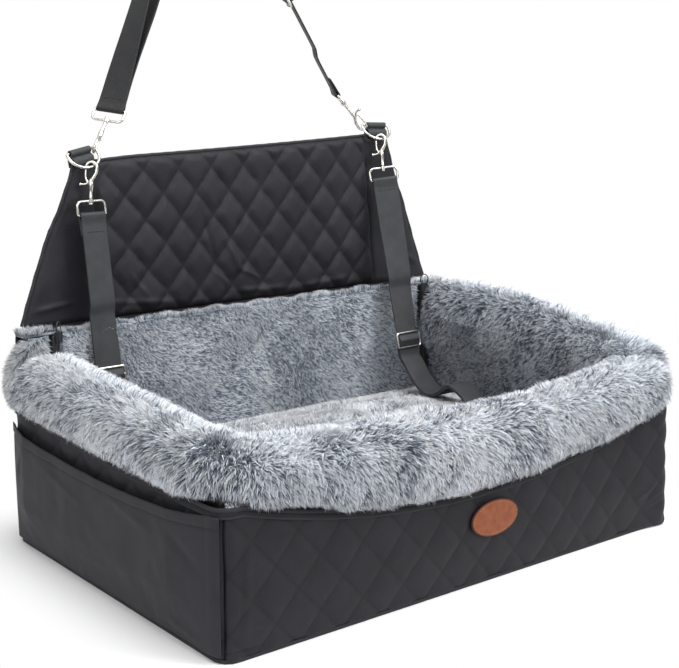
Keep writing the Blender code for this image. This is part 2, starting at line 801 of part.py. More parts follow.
def hookShape():
    top = -bailBar + bailHeight
    path = [(0, top - 0.0040), (0, top - 0.0024), (0, top - 0.0022), (0, top + 0.0022), (0, top + 0.0024)]
    radii = [0.0022, 0.0024, 0.0013, 0.0013, 0.0022]
    path += [(0, top + 0.0080), (0, -0.0240), (0, -0.0225), (0, -0.0140), (0.0024, -0.0105), (0.0048, -0.0050)]
    radii += [0.0019, 0.0019, 0.0025, 0.0025, 0.0020, 0.0017]
    curve = arc((0, 0), hookRadius, 0, 172, 7)
    path += curve
    radii += [0.0016, 0.0015, 0.0015, 0.0015, 0.0015, 0.0014, 0.0013]
    return tubeFaces(wireRings([(x, 0, z) for x, z in path], radii, (0, 1, 0), 6))


def triggerShape():
    path = [(-hookRadius, -0.0013), (-hookRadius, -0.0110), (-0.0039, -0.0146)]
    path += [(-0.0040, -0.0164), (-hookRadius - 0.0016, -0.0175)]
    path += [(-hookRadius - 0.0044, -0.0176), (-hookRadius - 0.0062, -0.0177)]
    radii = [0.0010, 0.0011, 0.0011, 0.0011, 0.0011, 0.0019, 0.0013]
    return tubeFaces(wireRings([(x, 0, z) for x, z in path], radii, (0, 1, 0), 6))


def glideShape():
    loop = wireLoop(barInner / 2 + wireRadius, -sliderBar, sliderBar, 0.0025, 0.0025, wireRadius)
    reach = barInner / 2 + wireRadius
    bar = tubeFaces(wireRings([(-reach, 0, 0), (reach, 0, 0)], wireRadius, (0, 1, 0), 6))
    return joined("glide", [loop, bar], "metal")


bailMesh, hookMesh, triggerMesh, glideMesh = bailShape(), hookShape(), triggerShape(), glideShape()


def frameAt(centre, up, across):
    """A placing function: z of the shape along up, x along across, squared to up."""
    up = unit(up)
    across = unit(np.array(across, float) - up * np.dot(across, up))
    through = np.cross(up, across)
    centre = np.array(centre, float)
    return lambda p: centre + p[0] * across + p[1] * through + p[2] * up


def snapHook(name, eye, up, across, flat, pull=None):
    """Three pieces: the bail, the hook turning in it and the hook's sliding bolt. The bail lies in line with the pull."""
    eye, up = np.array(eye, float), unit(up)
    stem = eye - up * (bailBar - bailHeight)
    back = -unit(pull - stem) if pull is not None else up
    addMesh(f"{name}_bail", *placed(bailMesh, frameAt(stem + back * (bailBar - bailHeight), back, flat)), "metal", origin=stem)
    addMesh(f"{name}_hook", *placed(hookMesh, frameAt(eye, up, across)), "metal", origin=stem)
    addMesh(f"{name}_bolt", *placed(triggerMesh, frameAt(eye, up, across)), "metal", origin=eye)
    return stem - back * bailHeight


# D-rings on webbing loops at the flap's top corners
ringDrop = radians(52)
ringDepth = 0.0205
ringSide = 0.0055
ringHalf = ringInner / 2 + ringRadius
eyeInner = hookRadius - 0.0016
legOff = flapCore / 2 + flapCloth + gap + 0.0004 + webbingThickness / 2
ringCentre, ringAcross = {}, {}
tetherEye = {}
strapEye = {}
for name, sign in (("left", -1), ("right", 1)):
    place, above, turn, roll = loopPlaces[name]
    turn, roll = radians(turn), radians(roll) + flapTilt
    across = cos(turn) * (np.array([cos(roll), 0, 0]) + sin(roll) * flapUp) - sin(turn) * flapOut
    up = unit(flapUp - across * np.dot(flapUp, across))
    out = np.cross(across, up)
    down = out * cos(ringDrop) - up * sin(ringDrop)
    top = flapStart + flapHeight
    centre = flapPoint(place / (flapHalf(top) - flapTuck[sign]), top, 0) + up * above
    path = [(-ringHalf + 0.002, 0), (ringHalf - 0.002, 0), (ringHalf, 0.002), (ringHalf, ringSide)]
    for a in (20, 45, 70, 90, 110, 135, 160):
        bow = radians(a)
        path.append((ringHalf * cos(bow), ringSide + (ringDepth - ringSide) * sin(bow)))
    path += [(-ringHalf, ringSide), (-ringHalf, 0.002)]
    rings = wireRings([centre + across * x + down * d for x, d in path], ringRadius, np.cross(across, down), 6, True)
    addMesh(f"ring_{name}", *tubeFaces(rings, True), "metal", origin=centre)
    loopWrap = ringRadius + 0.0004 + webbingThickness / 2
    legs = [(-0.0145, -legOff, 0, 1), (-0.007, -legOff, 0, 1), (0, 0, loopWrap, -1), (-0.007, legOff, 0, 1), (-0.0145, legOff, 0, 1)]

    def onLoop(s, d, w, at=centre + across * sign * loopShift, along=up, off=out, wide=across):
        return at + along * s + off * d + wide * w

    addMesh(f"flap_loop_{name}", *ribbonFaces(belt(legs, 40), onLoop, loopWidth), "webbing", origin=flapHinge)
    ringCentre[name], ringAcross[name] = centre, across
    tetherEye[name] = centre + down * ringDepth - np.array([0, 0, eyeInner - ringRadius - 0.0018])
    strapEye[name] = centre - across * sign * (ringHalf - 0.0004) + down * 0.0014

# Tethers: from the upper hook down through the slider to the lower hook on the cushion.
# Each pair is how far a point lies in front of the flap and above the cushion.
tetherGuide = {}
tetherSlider = {}
tetherRun = {
    "left": [(0.040, 0.060), (0.074, 0.012), (0.096, -0.0005), (0.120, 0.002), (0.142, 0.0125), (0.164, 0.0065), (0.180, -0.0008)],
    "right": [(0.064, 0.052), (0.090, 0.010), (0.110, -0.0008), (0.130, 0.004), (0.148, 0.016), (0.168, 0.0095), (0.182, -0.0008)],
}
# How each tether's upper end is turned towards the camera's side
tetherTurn = {"left": 8, "right": -24}
tetherHanded = {"left": (0.87, -0.49, 0), "right": (0.70, -0.71, 0)}
# How far each upper hook hangs to the left of its tether's line
tetherLean = {"left": 0.0045, "right": 0.0030}
tetherX = 0.195
tetherUp = {}
for name, sign in (("left", -1), ("right", 1)):
    tetherRun[name] = [(flapY - before, cushionCrown + above) for before, above in tetherRun[name]]
    eye = tetherEye[name]
    points = [np.array([sign * tetherX, y, z]) for y, z in tetherRun[name]]
    towards = unit(unit(eye - points[0]) * (bailBar - bailHeight) + np.array([tetherLean[name], 0, 0]))
    tetherUp[name] = towards
    turn = radians(tetherTurn[name])
    flat = (cos(turn), sin(turn), 0)
    bar = snapHook(f"tether_top_{name}", eye, towards, tetherHanded[name], flat, points[0])
    straight = np.linalg.norm(points[0] - bar)
    run = unit(points[0] - bar)
    extra = [bar + run * f for f in (0.06, 0.11, straight - 0.020, straight, straight + 0.010, straight + 0.020)]
    points = [bar, *extra, *points[1:]]
    turns = [turn, turn, turn * 0.6, 0, 0, 0]
    widths = [(cos(a), sin(a), 0) for a in turns] + [(1, 0, 0)] * (len(points) - 6)
    guide = guideLine(points, widths, 240)
    sliderAt = straight - 0.004
    tetherGuide[name], tetherSlider[name] = guide, sliderAt
    stops = strapStops(sliderAt, guide.length)
    webbing = ribbonFaces(spaced(belt(stops, 40), 0.011), guide)
    addMesh(f"tether_{name}", *webbing, "webbing")
    at = guide(sliderAt, 0, 0)
    along = guide(sliderAt - 0.001, 0, 0) - guide(sliderAt + 0.001, 0, 0)
    addMesh(f"glide_{name}", *placed(glideMesh, frameAt(at, along, guide(sliderAt, 0, 0.01) - at)), "metal", origin=at)
    endBar = guide(guide.length, 0, 0)
    endWay = unit(guide(guide.length - 0.004, 0, 0) - endBar)
    lowUp = unit((0, -1, 0.0))
    lowEye = endBar + lowUp * bailBar
    snapHook(f"tether_low_{name}", lowEye, lowUp, (-1, 0, 0), (1, 0, 0))

# Hanging strap: right hook, slider, rounded top, left hook
away = radians(strapLean)
spread = radians(strapHalfAngle)
planeUp = np.array([0, sin(away), cos(away)])
planeOut = np.array([0, cos(away), -sin(away)])
strapAcross = np.array([cos(strapTilt), 0, 0]) + sin(strapTilt) * planeUp
planeUp = cos(strapTilt) * planeUp - np.array([sin(strapTilt), 0, 0])
strapWay = {s: -s * sin(spread) * strapAcross + cos(spread) * planeUp for s in (-1, 1)}
rightTurn = radians(-33)
hookWay = {"left": unit((0.56, 0.30, 0.77)), "right": unit((-0.603, 0.264, 0.752))}
hookSide = {"left": (-0.6, -0.78, 0), "right": (-0.294, 0.801, -0.5175)}


def rightWidth(turn):
    return cos(turn) * planeOut + sin(turn) * np.cross(strapWay[1], planeOut)


strapHookEye = {name: strapEye[name] + hookWay[name] * (eyeInner - ringRadius - 0.0012) for name in strapEye}
barPoint = {name: strapHookEye[name] + hookWay[name] * bailBar for name in strapEye}
# The two straight runs lean in by the same angle and meet in a round top
gapBetween = barPoint["left"] - barPoint["right"]
acrossGap, upGap = -np.dot(gapBetween, strapAcross), np.dot(gapBetween, planeUp)
meet = (acrossGap + upGap * tan(spread)) / 2 / sin(spread)
cut = apexRadius / tan(spread)
# The left hook hangs out of the right run's plane, so the top carries the strap across to it
outGap = np.dot(gapBetween, planeOut)
points, widths = [], []
for f in np.linspace(0, 1, 6):
    points.append(barPoint["right"] + strapWay[1] * (meet - cut) * f)
    widths.append(rightWidth(rightTurn * min(1, (1 - f) / 0.2)))
peak = barPoint["right"] + strapWay[1] * meet
apex = peak - planeUp * apexRadius / sin(spread)
for a in np.linspace(spread, pi - spread, 9)[1:-1]:
    over = 0.5 - 0.5 * cos(pi * (a - spread) / (pi - 2 * spread))
    points.append(apex + apexRadius * (cos(a) * strapAcross + sin(a) * planeUp) + planeOut * outGap * over)
    widths.append(planeOut)
leftTop = peak - strapWay[-1] * cut + planeOut * outGap
leftWidth = unit(np.cross(leftTop - barPoint["left"], hookWay["left"]))
for f in np.linspace(1, 0, 6):
    points.append(barPoint["left"] + (leftTop - barPoint["left"]) * f)
    widths.append(unit(planeOut * f + leftWidth * (1 - f)) + np.cross(-strapWay[-1], planeOut) * 0.17 * (1 - abs(2 * f - 1)))
snapHook("strap_left", strapHookEye["left"], -hookWay["left"], hookSide["left"], leftWidth)
snapHook("strap_right", strapHookEye["right"], -hookWay["right"], hookSide["right"], rightWidth(rightTurn))
strapGuide = guideLine(points, widths, 400)
strapSlider = 0.124
stops = strapStops(strapSlider, strapGuide.length)
slack = 0.011


def looseStrap(s, d, w):
    """The inner layer hangs a little apart from the outer one on the left side."""
    away = sin(pi * min(max((s - 0.30) / (strapGuide.length - 0.305), 0), 1)) ** 2
    return strapGuide(s, d + slack * away * (d > 0), w)


addMesh("strap_webbing", *ribbonFaces(spaced(belt(stops, 40), 0.015), looseStrap), "webbing")
at = strapGuide(strapSlider, 0, 0)
along = strapGuide(strapSlider + 0.001, 0, 0) - strapGuide(strapSlider - 0.001, 0, 0)
acrossStrap = strapGuide(strapSlider, 0, 0.01) - at
addMesh("glide_strap", *placed(glideMesh, frameAt(at, -along, acrossStrap)), "metal", origin=at)
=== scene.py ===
from math import asin, atan2, cos, hypot, pi, radians, sin, tan

import bmesh
import bpy
import numpy as np
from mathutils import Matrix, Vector
from mathutils.kdtree import KDTree


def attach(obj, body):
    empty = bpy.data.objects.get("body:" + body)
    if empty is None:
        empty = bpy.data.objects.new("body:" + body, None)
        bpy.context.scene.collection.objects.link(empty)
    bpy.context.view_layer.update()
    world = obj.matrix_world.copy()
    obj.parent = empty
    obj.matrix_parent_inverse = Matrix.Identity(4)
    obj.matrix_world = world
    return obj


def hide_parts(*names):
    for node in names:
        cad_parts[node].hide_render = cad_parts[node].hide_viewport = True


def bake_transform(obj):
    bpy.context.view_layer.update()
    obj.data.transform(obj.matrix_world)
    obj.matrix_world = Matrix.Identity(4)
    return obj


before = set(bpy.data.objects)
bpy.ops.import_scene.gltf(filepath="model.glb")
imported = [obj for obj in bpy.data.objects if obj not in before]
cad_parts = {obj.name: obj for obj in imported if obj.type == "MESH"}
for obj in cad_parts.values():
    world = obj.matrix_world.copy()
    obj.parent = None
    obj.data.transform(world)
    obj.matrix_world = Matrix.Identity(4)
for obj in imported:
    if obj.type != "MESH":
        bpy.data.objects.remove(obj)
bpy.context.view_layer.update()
print("frame loaded")

# Metres throughout: x across the seat, y from front to back, z up


def toLinear(hexColour):
    parts = [int(hexColour[i:i + 2], 16) / 255 for i in (1, 3, 5)]
    return tuple(p / 12.92 if p <= 0.04045 else ((p + 0.055) / 1.055) ** 2.4 for p in parts)


def rgba(hexColour):
    return (*toLinear(hexColour), 1)


def addNode(tree, kind, inputs=None, **properties):
    made = tree.nodes.new(kind)
    for name, value in properties.items():
        setattr(made, name, value)
    for key, value in (inputs or {}).items():
        if isinstance(value, bpy.types.NodeSocket):
            tree.links.new(value, made.inputs[key])
        else:
            made.inputs[key].default_value = value
    return made


def newMaterial(name, **values):
    made = bpy.data.materials.new(name)
    made.use_nodes = True
    shader = made.node_tree.nodes["Principled BSDF"]
    for key, value in values.items():
        shader.inputs[key.replace("_", " ")].default_value = value
    return made, made.node_tree, shader


def ramp(tree, factor, stops, interpolation="LINEAR"):
    made = addNode(tree, "ShaderNodeValToRGB", {"Fac": factor})
    made.color_ramp.interpolation = interpolation
    while len(made.color_ramp.elements) < len(stops):
        made.color_ramp.elements.new(0.5)
    for element, (position, colour) in zip(made.color_ramp.elements, stops):
        element.position = position
        element.color = rgba(colour) if isinstance(colour, str) else (colour, colour, colour, 1)
    return made.outputs["Color"]


def mathNode(tree, operation, *values):
    return addNode(tree, "ShaderNodeMath", dict(enumerate(values)), operation=operation).outputs[0]


def clothMap(tree):
    return addNode(tree, "ShaderNodeUVMap", uv_map="cloth").outputs["UV"]


def ownPlace(tree):
    return addNode(tree, "ShaderNodeTexCoord").outputs["Object"]


def noise(tree, where, scale, detail, **more):
    inputs = {"Vector": where, "Scale": scale, "Detail": detail, **more}
    return addNode(tree, "ShaderNodeTexNoise", inputs).outputs["Fac"]


def bands(tree, where, way, scale, distortion, **more):
    inputs = {"Vector": where, "Scale": scale, "Distortion": distortion, **more}
    return addNode(tree, "ShaderNodeTexWave", inputs, bands_direction=way).outputs["Fac"]


def attribute(tree, name):
    return addNode(tree, "ShaderNodeAttribute", attribute_name=name, attribute_type="GEOMETRY").outputs


def sumOf(tree, first, share, second, otherShare):
    parts = [mathNode(tree, "MULTIPLY", first, share), mathNode(tree, "MULTIPLY", second, otherShare)]
    return mathNode(tree, "ADD", *parts)


def colourMaterial(tree, shader, colour):
    tree.links.new(colour, shader.inputs["Base Color"])


def bumpMaterial(tree, shader, height, strength, distance):
    bump = addNode(tree, "ShaderNodeBump", {"Height": height, "Strength": strength, "Distance": distance})
    tree.links.new(bump.outputs["Normal"], shader.inputs["Normal"])


# A colour that turns to the darker seam colour where the piece's seam attribute says so: on the quilted
# walls and flap this is partly the stitched seams and partly painted shade in their grooves, on the badge
# its burnished edge
def seamed(tree, base, seamColour):
    inputs = {"Fac": attribute(tree, "seam")["Fac"], "Color1": base, "Color2": rgba(seamColour)}
    return addNode(tree, "ShaderNodeMixRGB", inputs).outputs["Color"]


# Woven polyester of the walls and the flap: thread 0.5 mm apart, drawn at 1.1 mm so that it shows
def wovenCloth(name, dark, light, roughness, sheen, thread=0.0011, depth=0.25):
    made, tree, shader = newMaterial(name, Roughness=roughness, Sheen_Weight=sheen, Sheen_Roughness=0.45)
    shader.inputs["Specular IOR Level"].default_value = 0.22
    uv = clothMap(tree)
    warp, weft = (bands(tree, uv, way, 0.16 / thread, 0.6, Detail=1.0) for way in "XY")
    weave = mathNode(tree, "MULTIPLY", warp, weft)
    mottled = sumOf(tree, weave, 0.30, noise(tree, uv, 22.0, 4.0, Roughness=0.6), 0.75)
    base = ramp(tree, mottled, [(0.2, dark), (0.75, light)])
    colourMaterial(tree, shader, seamed(tree, base, "#17171a"))
    bumpMaterial(tree, shader, weave, depth, 0.0004)
    return made


quiltCloth = wovenCloth("quiltedPolyester", "#1b1b1f", "#28282d", 0.60, 0.02)
plainCloth = wovenCloth("plainPolyester", "#252529", "#313136", 0.66, 0.02)


# Flat nylon webbing: ribs run across it, 1.3 mm apart
def nylonWebbing(name, dark, light):
    made, tree, shader = newMaterial(name, Roughness=0.58, Sheen_Weight=0.03)
    shader.inputs["Specular IOR Level"].default_value = 0.35
    uv = clothMap(tree)
    weave = mathNode(tree, "MULTIPLY", bands(tree, uv, "Y", 190.0, 0.3), bands(tree, uv, "X", 150.0, 0.2))
    mottled = sumOf(tree, weave, 0.2, noise(tree, uv, 60.0, 3.0), 0.8)
    colourMaterial(tree, shader, ramp(tree, mottled, [(0.2, dark), (0.8, light)]))
    bumpMaterial(tree, shader, weave, 0.2, 0.0004)
    return made


webbingCloth = nylonWebbing("nylonWebbing", "#27292b", "#383a3d")
# the hanging strap is the same webbing with darker colours: painted shade for the shade it hangs in
shadedStrapCloth = nylonWebbing("blackNylonWebbing", "#141416", "#202123")


# Artificial fur: each tuft carries its own colour, dark at the root and pale at the tip; the dark root is
# partly the fur's own colour and partly painted shade deep in the pile
def plushFur():
    made, tree, shader = newMaterial("plushFur", Roughness=0.62, Sheen_Weight=0.12, Sheen_Roughness=0.6)
    shader.inputs["Specular IOR Level"].default_value = 0.25
    colourMaterial(tree, shader, attribute(tree, "furTone")["Color"])
    return made


furPile = plushFur()


# Knitted backing under the pile, seen only between the tufts
def furBacking():
    made, tree, shader = newMaterial("furBacking", Roughness=0.9)
    fine = noise(tree, ownPlace(tree), 420.0, 2.0)
    colourMaterial(tree, shader, ramp(tree, fine, [(0.3, "#5a616a"), (0.7, "#979ea7")]))
    bumpMaterial(tree, shader, fine, 0.6, 0.002)
    return made


backing = furBacking()


# Nickel-plated cast zinc and wire: bright, with a slight haze from handling
def nickelPlate():
    made, tree, shader = newMaterial("nickelPlate", Metallic=1.0, Roughness=0.18)
    haze = noise(tree, ownPlace(tree), 260.0, 3.0)
    colourMaterial(tree, shader, ramp(tree, haze, [(0.3, "#c9c5be"), (0.7, "#e2dfd9")]))
    rough = addNode(tree, "ShaderNodeMapRange", {"Value": haze, "To Min": 0.12, "To Max": 0.26})
    tree.links.new(rough.outputs["Result"], shader.inputs["Roughness"])
    return made


nickel = nickelPlate()


# Vegetable-tanned leather, smooth side out, with a burnished dark edge
def tanLeather():
    made, tree, shader = newMaterial("tanLeather", Roughness=0.55)
    shader.inputs["Specular IOR Level"].default_value = 0.3
    where = ownPlace(tree)
    grain = addNode(tree, "ShaderNodeTexVoronoi", {"Vector": where, "Scale": 900.0}).outputs["Distance"]
    base = ramp(tree, noise(tree, where, 120.0, 5.0), [(0.3, "#784129"), (0.7, "#8e5133")])
    colourMaterial(tree, shader, seamed(tree, base, "#35170d"))
    bumpMaterial(tree, shader, grain, 0.25, 0.0003)
    return made


leather = tanLeather()


def flatMaterial(name, dark, light, roughness, scale, strength=0.3):
    made, tree, shader = newMaterial(name, Roughness=roughness)
    fine = noise(tree, ownPlace(tree), scale, 3.0)
    colourMaterial(tree, shader, ramp(tree, fine, [(0.3, dark), (0.7, light)]))
    bumpMaterial(tree, shader, fine, strength, 0.0003)
    return made


zipTape = flatMaterial("polyesterZipTape", "#18181b", "#26262a", 0.8, 900.0)
zipCoil = flatMaterial("nylonZipCoil", "#1c1c1f", "#2c2c30", 0.45, 700.0, 0.1)
blackThread = flatMaterial("polyesterThread", "#101012", "#1e1e21", 0.7, 1400.0)
tanThread = flatMaterial("waxedThread", "#9a6a48", "#c79a74", 0.6, 1400.0)
print("materials made")


# Smooth value noise from -1 to 1 for an array of points, shared by several pieces
def softNoise(points, size, seed):
    q = np.asarray(points, float) / size
    cell = np.floor(q).astype(np.int64)
    part = q - cell
    part = part * part * (3 - 2 * part)
    total = np.zeros(len(q))
    for corner in range(8):
        offset = np.array([corner & 1, corner >> 1 & 1, corner >> 2 & 1])
        k = cell + offset
        mixed = (
            k[:, 0] * 73856093 ^ k[:, 1] * 19349663 ^ k[:, 2] * 83492791 ^ (seed * 2654435761 & 0x7FFFFFFF)
        )
        mixed = (mixed ^ mixed >> 13) * 1274126177 & 0x7FFFFFFF
        mixed = (mixed ^ mixed >> 16) & 0xFFFF
        weight = np.prod(np.where(offset, part, 1 - part), axis=1)
        total += weight * (mixed / 32767.5 - 1)
    return total


def layered(points, size, seed, layers=3):
    return sum(softNoise(points, size / 2**k, seed + k) / 2**k for k in range(layers))


# Unevenness over a grid that x and z place
def uneven(x, z, size, seed, layers=3):
    spots = np.stack([x.ravel(), z.ravel(), 0 * x.ravel()], axis=1)
    return layered(spots, size, seed, layers).reshape(x.shape)


def normed(vectors):
    return vectors / np.linalg.norm(vectors, axis=-1, keepdims=True)


# How far each point of a line lies along it
def distances(points):
    return np.concatenate([[0], np.cumsum(np.linalg.norm(np.diff(points, axis=0), axis=1))])


def spacedValues(low, high, step):
    return np.linspace(low, high, max(2, int(round((high - low) / step)) + 1))


# A grid of cloth placed by a function of two values, with its flat size kept as a UV map
def clothGrid(name, across, up, place, uvs=None, seams=None):
    m, n = len(across), len(up)
    work = bmesh.new()
    bmesh.ops.create_grid(work, x_segments=m - 1, y_segments=n - 1, size=0.5)
    work.verts.ensure_lookup_table()
    # the grid's points by column and row
    order = sorted(work.verts, key=lambda vert: (round(vert.co.x, 6), round(vert.co.y, 6)))
    layer = work.loops.layers.uv.new("cloth")
    at = {vert.index: (k // n, k % n) for k, vert in enumerate(order)}
    for vert in work.verts:
        i, j = at[vert.index]
        vert.co = place(i, j)
    for face in work.faces:
        for loop in face.loops:
            i, j = at[loop.vert.index]
            loop[layer].uv = uvs(i, j) if uvs else (across[i], up[j])
        face.smooth = True
    if seams is not None:
        mark = work.verts.layers.float.new("seam")
        for vert in work.verts:
            i, j = at[vert.index]
            vert[mark] = float(seams[i][j])
    return pieceFrom(name, work)


def addPiece(name, mesh):
    made = bpy.data.objects.new(name, mesh)
    bpy.context.scene.collection.objects.link(made)
    return made


def pieceFrom(name, work):
    mesh = bpy.data.meshes.new(name)
    work.to_mesh(mesh)
    work.free()
    return addPiece(name, mesh)


# Gives a piece its material, its body and the nodes it stands for
def finish(piece, body, material, slotName, *nodes):
    piece.data.materials.clear()
    piece.data.materials.append(material)
    if body:
        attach(piece, body)
    if nodes:
        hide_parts(*nodes)
    return piece


def thicken(piece, thickness, offset=-1.0):
    solid = piece.modifiers.new("thickness", "SOLIDIFY")
    solid.thickness = thickness
    solid.offset = offset
    solid.use_even_offset = False
    return piece


def closeMesh(work):
    bmesh.ops.remove_doubles(work, verts=work.verts, dist=1e-7)
    bmesh.ops.recalc_face_normals(work, faces=work.faces)


# Plan of the walls
walls = {
    "width": 0.570,
    "depth": 0.390,
    "cornerRadius": 0.016,
    "leftRise": 0.013,
    "cornerHeight": 0.134,
    "frontDip": 0.039,
    "dipHalf": 0.262,
    "sideDip": 0.008,
    "rearHeight": 0.219,
    "bulge": 0.003,
    "step": 0.0020,
    "diamondWidth": 0.0472,
    "diamondHeight": 0.0518,
    "diamondX": -0.0187,
    "diamondZ": 0.0500,
    "puff": 0.0016,
}


# A point of the walls' outline moved in by inset, and how far it lies along the side
def wallPoint(side, t, inset):
    halfX, halfY = walls["width"] / 2 - inset, walls["depth"] / 2 - inset
    radius = max(walls["cornerRadius"] - inset, 0.004)
    halfRun, other = (halfX, halfY) if side in ("front", "rear") else (halfY, halfX)
    straight = 2 * (halfRun - radius)
    curve = radius * pi / 4
    reach = t * (straight + 2 * curve) - curve
    if reach < 0:
        angle = reach / radius
        along, out = -halfRun + radius + radius * sin(angle), other - radius + radius * cos(angle)
    elif reach > straight:
        angle = (reach - straight) / radius
        along, out = halfRun - radius + radius * sin(angle), other - radius + radius * cos(angle)
    else:
        along, out = -halfRun + radius + reach, other
    if side == "front":
        return along, -out
    if side == "right":
        return out, along
    if side == "rear":
        return -along, out
    return -out, -along


# A place on the outline and the way out of the wall there
def wallSpot(side, t):
    x, y = wallPoint(side, t, 0)
    xo, yo = wallPoint(side, t, -0.001)
    return x, y, ((xo - x) * 1000, (yo - y) * 1000, 0)


# Points over a wall, each moved in by its own inset
def onWall(side, ts, insets, z):
    rows = range(z.shape[1])
    return np.array(
        [[(*wallPoint(side, t, insets[i, j]), z[i, j]) for j in rows] for i, t in enumerate(ts)]
    )


def seamHeight(side, x, y):
    if side == "front":
        return walls["cornerHeight"] - walls["frontDip"] * (1 - min(abs(x) / walls["dipHalf"], 1) ** 2)
    if side == "rear":
        return walls["rearHeight"]
    back = min(max(0.5 + y / walls["depth"], 0), 1)
    rise = walls["leftRise"] * back * (2 - back) if side == "left" else 0
    dip = walls["sideDip"] * (1 - min(abs(y) / (walls["depth"] / 2), 1) ** 2)
    return walls["cornerHeight"] - dip + rise


# Puff from 0 to 1 of a quilted diamond, and how near the stitching lies in metres
def diamonds(x, z, width, height):
    a, b = x / width + z / height, x / width - z / height
    da, db = abs(a - np.round(a)), abs(b - np.round(b))
    puff = (np.clip(da * 4.2, 0, 1) * np.clip(db * 4.2, 0, 1)) ** 0.55
    puff = 0.65 * puff + 0.35 * np.sin(pi * da) * np.sin(pi * db)
    scale = 1 / hypot(1 / width, 1 / height)
    return puff, np.minimum(da, db) * scale


def creaseDepth(x, z, creases):
    total = 0.0 * x
    for x0, z0, x1, z1, depth, width in creases:
        dx, dz = x1 - x0, z1 - z0
        length = hypot(dx, dz)
        along = np.clip(((x - x0) * dx + (z - z0) * dz) / length**2, 0, 1)
        away = np.hypot(x - x0 - along * dx, z - z0 - along * dz)
        fade = np.sin(pi * np.clip(along, 0.02, 0.98)) ** 0.5
        total = total + depth * fade * np.exp(-((away / width) ** 2))
    return total


wallCreases = {
    "front": [
        (-0.290, 0.0085, -0.238, 0.0095, -0.0016, 0.0016), (0.232, 0.036, 0.262, 0.052, 0.0013, 0.0022),
        (0.244, 0.030, 0.272, 0.044, 0.0012, 0.0020), (0.250, 0.022, 0.275, 0.030, -0.0010, 0.0022),
        (-0.262, 0.015, -0.258, 0.110, 0.0010, 0.0040),
    ],
    "left": [
        (0.120, 0.008, 0.192, 0.0085, -0.0014, 0.0016), (-0.190, 0.010, -0.150, 0.030, 0.0010, 0.0030),
    ],
    "right": [(-0.180, 0.010, -0.140, 0.034, 0.0010, 0.0030)],
    "rear": [(-0.26, 0.19, -0.20, 0.206, 0.0010, 0.0035), (0.20, 0.206, 0.26, 0.192, 0.0010, 0.0035)],
}


def makeWall(side):
    run = walls["width"] if side in ("front", "rear") else walls["depth"]
    ts = spacedValues(0, 1, walls["step"] / run)
    vs = spacedValues(0, 1, walls["step"] / (0.13 if side != "rear" else 0.21))
    m, n = len(ts), len(vs)
    base = np.zeros((m, n, 3))
    out = np.zeros((m, n, 3))
    flat = np.zeros((m, n, 2))
    for i, t in enumerate(ts):
        x, y, way = wallSpot(side, t)
        top = seamHeight(side, x, y)
        for j, v in enumerate(vs):
            base[i, j] = (x, y, 0.0008 + v * (top - 0.0008))
            out[i, j] = way
            flat[i, j] = ((t - 0.5) * (run - 0.0068), base[i, j, 2])
    s, z = flat[:, :, 0], flat[:, :, 1]
    puff, near = diamonds(
        s - walls["diamondX"], z - walls["diamondZ"], walls["diamondWidth"], walls["diamondHeight"],
    )
    seed = {"front": 11, "left": 23, "right": 37, "rear": 51}[side]
    ripple = uneven(s, z, 0.055, seed)
    fine = uneven(s, z, 0.012, seed + 5, 2)
    tt, vv = np.meshgrid(ts, vs, indexing="ij")
    edge = np.minimum(tt, 1 - tt) * run
    top = base[:, -1, 2][:, None] - z
    relief = walls["bulge"] * np.sin(pi * vv) * np.minimum(1, edge / 0.045)
    relief += walls["puff"] * (puff - 0.75) + 0.0008 * ripple + 0.0003 * fine * np.exp(-near / 0.006)
    relief += creaseDepth(s, z, wallCreases[side])
    # the right front corner is stuffed fuller than the others
    if side in ("front", "right"):
        fromCorner = (1 - tt if side == "front" else tt) * run
        relief += (0.0030 + 0.0035 * (1 - vv)) * np.exp(-((fromCorner / 0.035) ** 2))
    relief -= 0.0016 * np.exp(-((edge / 0.0018) ** 2))
    relief -= 0.0022 * np.clip(1 - z / 0.005, 0, 1) ** 2
    relief -= 0.0016 * np.exp(-((top / 0.0020) ** 2))
    points = base + out * relief[:, :, None]
    # darker along the quilting and the panel edges: partly the stitched seams, partly painted shade in
    # their grooves
    seams = 0.75 * np.exp(-((near / 0.0011) ** 2)) + 0.6 * np.exp(-((edge / 0.0012) ** 2))
    piece = clothGrid(
        f"quilted{side.capitalize()}", ts, vs, lambda i, j: points[i, j], lambda i, j: flat[i, j],
        np.clip(seams, 0, 1),
    )
    thicken(piece, 0.0024)
    return finish(piece, "basket", quiltCloth, "quilted_cloth", f"{side}_cover", f"{side}_foam")


for side in ("front", "left", "right", "rear"):
    makeWall(side)
print("walls quilted")


# Stitches: short lengths of thread laid end to end along a path
def stitchRow(
    name, path, normals, length=0.0028, spacing=0.0040, radius=0.00032, material=blackThread,
    slotName="plain_cloth", body="basket",
):
    path, normals = np.array(path), np.array(normals)
    run = distances(path)
    work = bmesh.new()
    for start in np.arange(spacing / 2, run[-1] - length, spacing):
        ends = [np.array([np.interp(start + d, run, path[:, k]) for k in range(3)]) for d in (0, length)]
        up = np.array([np.interp(start, run, normals[:, k]) for k in range(3)])
        up = up / np.linalg.norm(up)
        way = (ends[1] - ends[0]) / np.linalg.norm(ends[1] - ends[0])
        across = np.cross(way, up)
        made = bmesh.ops.create_icosphere(work, subdivisions=1, radius=1)["verts"]
        middle = (ends[0] + ends[1]) / 2
        for vert in made:
            a, b, c = vert.co
            vert.co = Vector(middle + way * a * length / 2 + across * b * radius + up * c * radius)
    for face in work.faces:
        face.smooth = True
    return finish(pieceFrom(name, work), body, material, slotName)


# Side pocket of plain cloth with a folded hem
pocket = {
    "gap": 0.0060, "seam": 0.0008, "rim": 0.1272, "sag": 0.0115, "foot": 0.006, "thickness": 0.0012,
    "hem": 0.010, "tall": 0.115,
}


